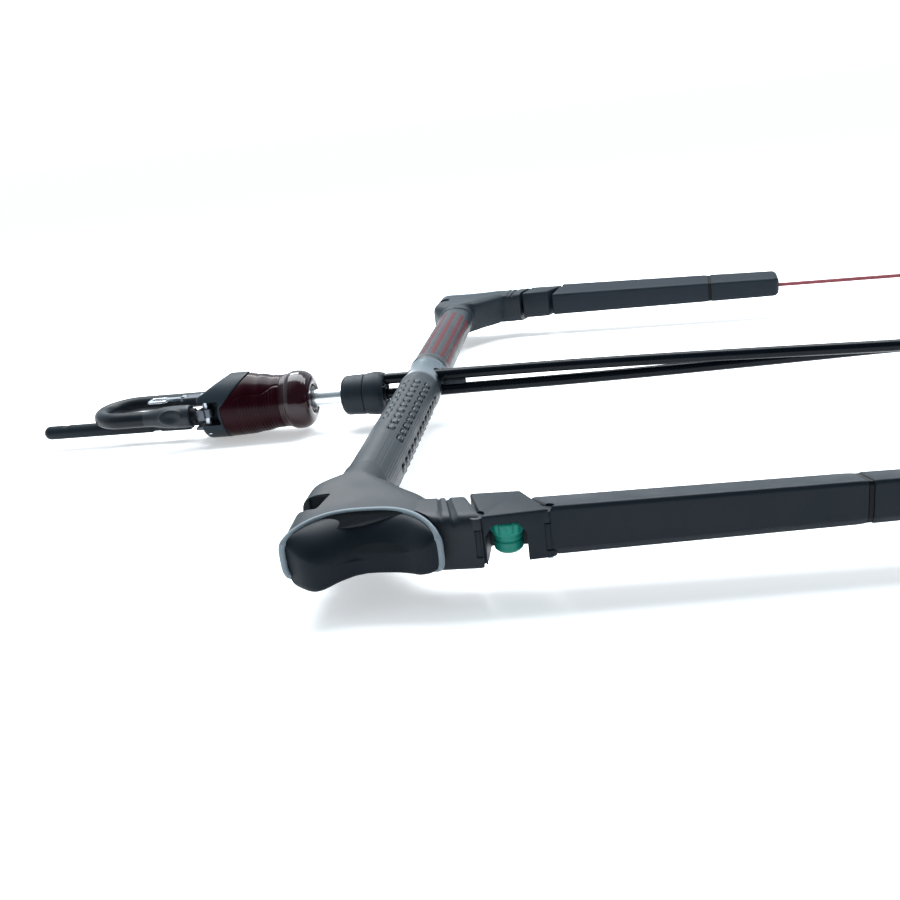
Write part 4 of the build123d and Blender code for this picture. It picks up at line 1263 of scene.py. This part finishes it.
def link_mesh(way):
    face_1 = [(slant(INNER_Y, HINGE_1, FOOT_1) + FOLD_ROOM_1, INNER_Y),
              (slant(LINK_OUTER, HINGE_1, FOOT_1) + 1.0, LINK_OUTER)]
    face_2 = [(slant(252.9, HINGE_2, FOOT_2) - 0.3, 252.9), (79.2, INNER_Y)]
    outline = [face_1[0], face_1[1], face_2[0], face_2[1]]
    body = rounded_block([(x, way * y) for x, y in outline], (-10.0, LINK_TOP), 1.1)
    arch = [(WINDOW_X[0], -30), (WINDOW_X[0], 3.0), (WINDOW_X[0] + 3.4, WINDOW_TOP),
            (WINDOW_X[1] - 3.4, WINDOW_TOP), (WINDOW_X[1], 3.0), (WINDOW_X[1], -30)]
    rings = [[(x, way * y, z) for x, z in arch] for y in (WINDOW_Y, 300.0)]
    body = carve(body, bevelled(skin("window", rings), 0.8, 2))
    for ear in hinge_ears(way, HINGE_1, 3.0, BARREL_LEVELS) + hinge_ears(way, HINGE_2, 3.2, EAR_LEVELS):
        body = carve(body, ear, "UNION")
    for room in ear_rooms(way, HINGE_1, 3):
        body = carve(body, room)
    return carve(body, barrel_room(way, HINGE_2))


def knob_relief(h, a, r):
    """Finger dimples round the knob's flared top."""
    dimple = 0.55 * (0.5 - 0.5 * cos(14 * a)) ** 3
    return -dimple * ease(h, 2.2, 3.4) * ease(r, 5.5, 7.0)


KNOB_PROFILE = [(-7.2, 1.55), (-7.2, 5.0), (-5.8, 6.3), (-2.0, 6.3), (-1.7, 5.9), (-1.2, 5.9), (-0.9, 6.3),
                (1.0, 6.3), (2.4, 7.3), (4.0, 8.0), (6.6, 8.1), (7.5, 7.6), (7.7, 6.6), (7.1, 5.6),
                (7.1, 1.55)]

for side, way in (("left", 1), ("right", -1)):
    link_piece(f"{side}_neck_skin", link_mesh(way), "neck", f"{side}_link",
               [f"{side}_neck_link"], 32)
    knob_line = dense(soften(KNOB_PROFILE, 0.35, 2), 0.6)
    knob = turned_z("knob", knob_line, KNOB[0], way * KNOB[1], knob_relief, 112)
    knob_name = f"{side}_knob"
    link_piece(f"{side}_knob_skin", knob, knob_name, knob_name, [f"{side}_leader_knob"], 45)

# ---- floats ----

FLOAT_IN, FLOAT_OUT = -12.3, 11.5
FLOAT_TOP_IN, FLOAT_TOP_OUT = 9.5, 14.0
FLOAT_LOW = -10.0
RING_X = (160.0, 162.5)
END_SHRINK, RING_SHRINK = 0.78, 0.85
SECTION = [(FLOAT_IN, FLOAT_LOW + 1.5), (FLOAT_IN, FLOAT_TOP_IN), (FLOAT_OUT - 2.6, FLOAT_TOP_OUT - 0.4),
           (FLOAT_OUT - 1.2, FLOAT_TOP_OUT), (FLOAT_OUT, FLOAT_TOP_OUT - 1.6), (FLOAT_OUT, FLOAT_LOW + 5.0),
           (FLOAT_OUT - 3.0, FLOAT_LOW), (FLOAT_IN + 1.5, FLOAT_LOW)]
CORNERS = [1.4, 2.4, 0.9, 0.7, 1.2, 1.5, 1.5, 1.4]


def section_ring():
    """The float's section with rounded corners, as pairs across and up."""
    made = []
    count = len(SECTION)
    for n in range(count):
        before, here, after = SECTION[n - 1], SECTION[n], SECTION[(n + 1) % count]
        reach = min(CORNERS[n], 0.45 * hypot(before[0] - here[0], before[1] - here[1]),
                    0.45 * hypot(after[0] - here[0], after[1] - here[1]))
        start, end = toward(here, before, reach), toward(here, after, reach)
        for k in range(6):
            t = k / 5
            made.append(tuple((1 - t) ** 2 * s + 2 * t * (1 - t) * h + t * t * e
                              for s, h, e in zip(start, here, end)))
    return made


FLOAT_SECTION = section_ring()


def float_start(u, way):
    """Place along the float of the second groove's face, at a place across it."""
    y = FLOAT_START[1] + u
    knee = slant(min(y, HINGE_2[1]), HINGE_2, FOOT_2)
    open_in = FOLD_ROOM_2 * max(0.0, (HINGE_2[1] - y) / 20.0)
    return knee - FLOAT_START[0] + open_in + 0.5


def float_shell(way):
    rings = []
    stations = [0.0, 0.004, 0.012] + [0.03 + 0.97 * n / 40 for n in range(41)]
    for share in stations:
        ring = []
        for u, v in FLOAT_SECTION:
            start = float_start(u, way)
            along = start + (RING_X[0] - start) * share
            shrink = 1 + (RING_SHRINK - 1) * (along - 10) / (RING_X[0] - 10)
            tuck = 0.95 if share == 0 else 0.985 if share < 0.01 else 1.0
            if share > 0.985:
                tuck = 1 - 0.02 * (share - 0.985) / 0.015
            ring.append(in_float(along, u * shrink * tuck, v * shrink * tuck, way))
        rings.append(ring)
    return skin("float", rings)


TAIL_DOME = 5.0                  # length of the tail's rounded end


def float_tail():
    stations = [(RING_X[1], 0.97), (RING_X[1] + 0.6, 0.995), (RING_X[1] + 1.5, 1.0)]
    stations += [(RING_X[1] + 1.5 + (FLOAT_END - TAIL_DOME - RING_X[1]) * n / 14, 1.0) for n in range(1, 14)]
    for n in range(9):
        t = n / 8 * pi / 2
        stations.append((FLOAT_END - TAIL_DOME + 4.9 * sin(t), 0.34 + 0.66 * cos(t) ** 0.8))
    stations.append((FLOAT_END, 0.3))
    return stations


for side, way in (("left", 1), ("right", -1)):
    shell = float_shell(way)
    for ear in hinge_ears(way, HINGE_2, 3.0, BARREL_LEVELS):
        shell = carve(shell, ear, "UNION")
    for room in ear_rooms(way, HINGE_2, 4):
        shell = carve(shell, room)
    link_piece(f"{side}_float_foam", shell, "float", f"{side}_float",
               [f"{side}_float_shell"], 28)
    tail_rings = []
    for along, scale in float_tail():
        shrink = RING_SHRINK + (END_SHRINK - RING_SHRINK) * (along - RING_X[1]) / (FLOAT_END - RING_X[1])
        size = shrink * scale
        tail_rings.append([in_float(along, u * size, v * size, way) for u, v in FLOAT_SECTION])
    tail = skin("tail", tail_rings)
    link_piece(f"{side}_tail_foam", tail, "float", f"{side}_float", [f"{side}_float_tail"], 28)
    ring_rings = []
    for along, scale in ((RING_X[0] + 0.05, 0.93), (RING_X[0] + 0.4, 0.965), (RING_X[1] - 0.4, 0.965),
                         (RING_X[1] - 0.05, 0.93)):
        ring_rings.append([in_float(along, u * RING_SHRINK * scale, v * RING_SHRINK * scale, way)
                           for u, v in FLOAT_SECTION])
    link_piece(f"{side}_ring_rubber", skin("ring", ring_rings), "ring", f"{side}_float",
               [f"{side}_float_ring"])

# ---- finishes of the remaining CAD nodes ----

NODE_FINISH = {
    "swivel_bearing": "bronze",
    "head_screw": "pin",
    "line_spacer": "spacer",
    "line_stopper": "stopper",
    "line_eye": "pin",
    "swivel_post": "post",
    "release_core": "anodised",
    "release_spring": "pin",
    "front_bracket": "bracket",
    "unit_pins": "pin",
    "latch_lever": "pin",
    "loop_lug": "bracket",
    "loop_tongue": "bracket",
    "keeper_clip": "clip",
    "keeper_bail": "clip",
    "stick_knuckle": "knuckle",
    "knuckle_pin": "pin",
    "line_bushing": "bush",
    "core_tube": "carbon",
    "arm_pin": "pin",
    "link_pins": "pin",
    "leader_knot": "leader",
}

for name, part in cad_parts.items():
    side, _, rest = name.partition("_")
    plain = rest if side in ("left", "right") else name
    finish = NODE_FINISH.get(plain)
    if finish == "leader":
        finish = f"{side}_leader"
    if finish:
        part.data.materials.clear()
        part.data.materials.append(finishes[finish])
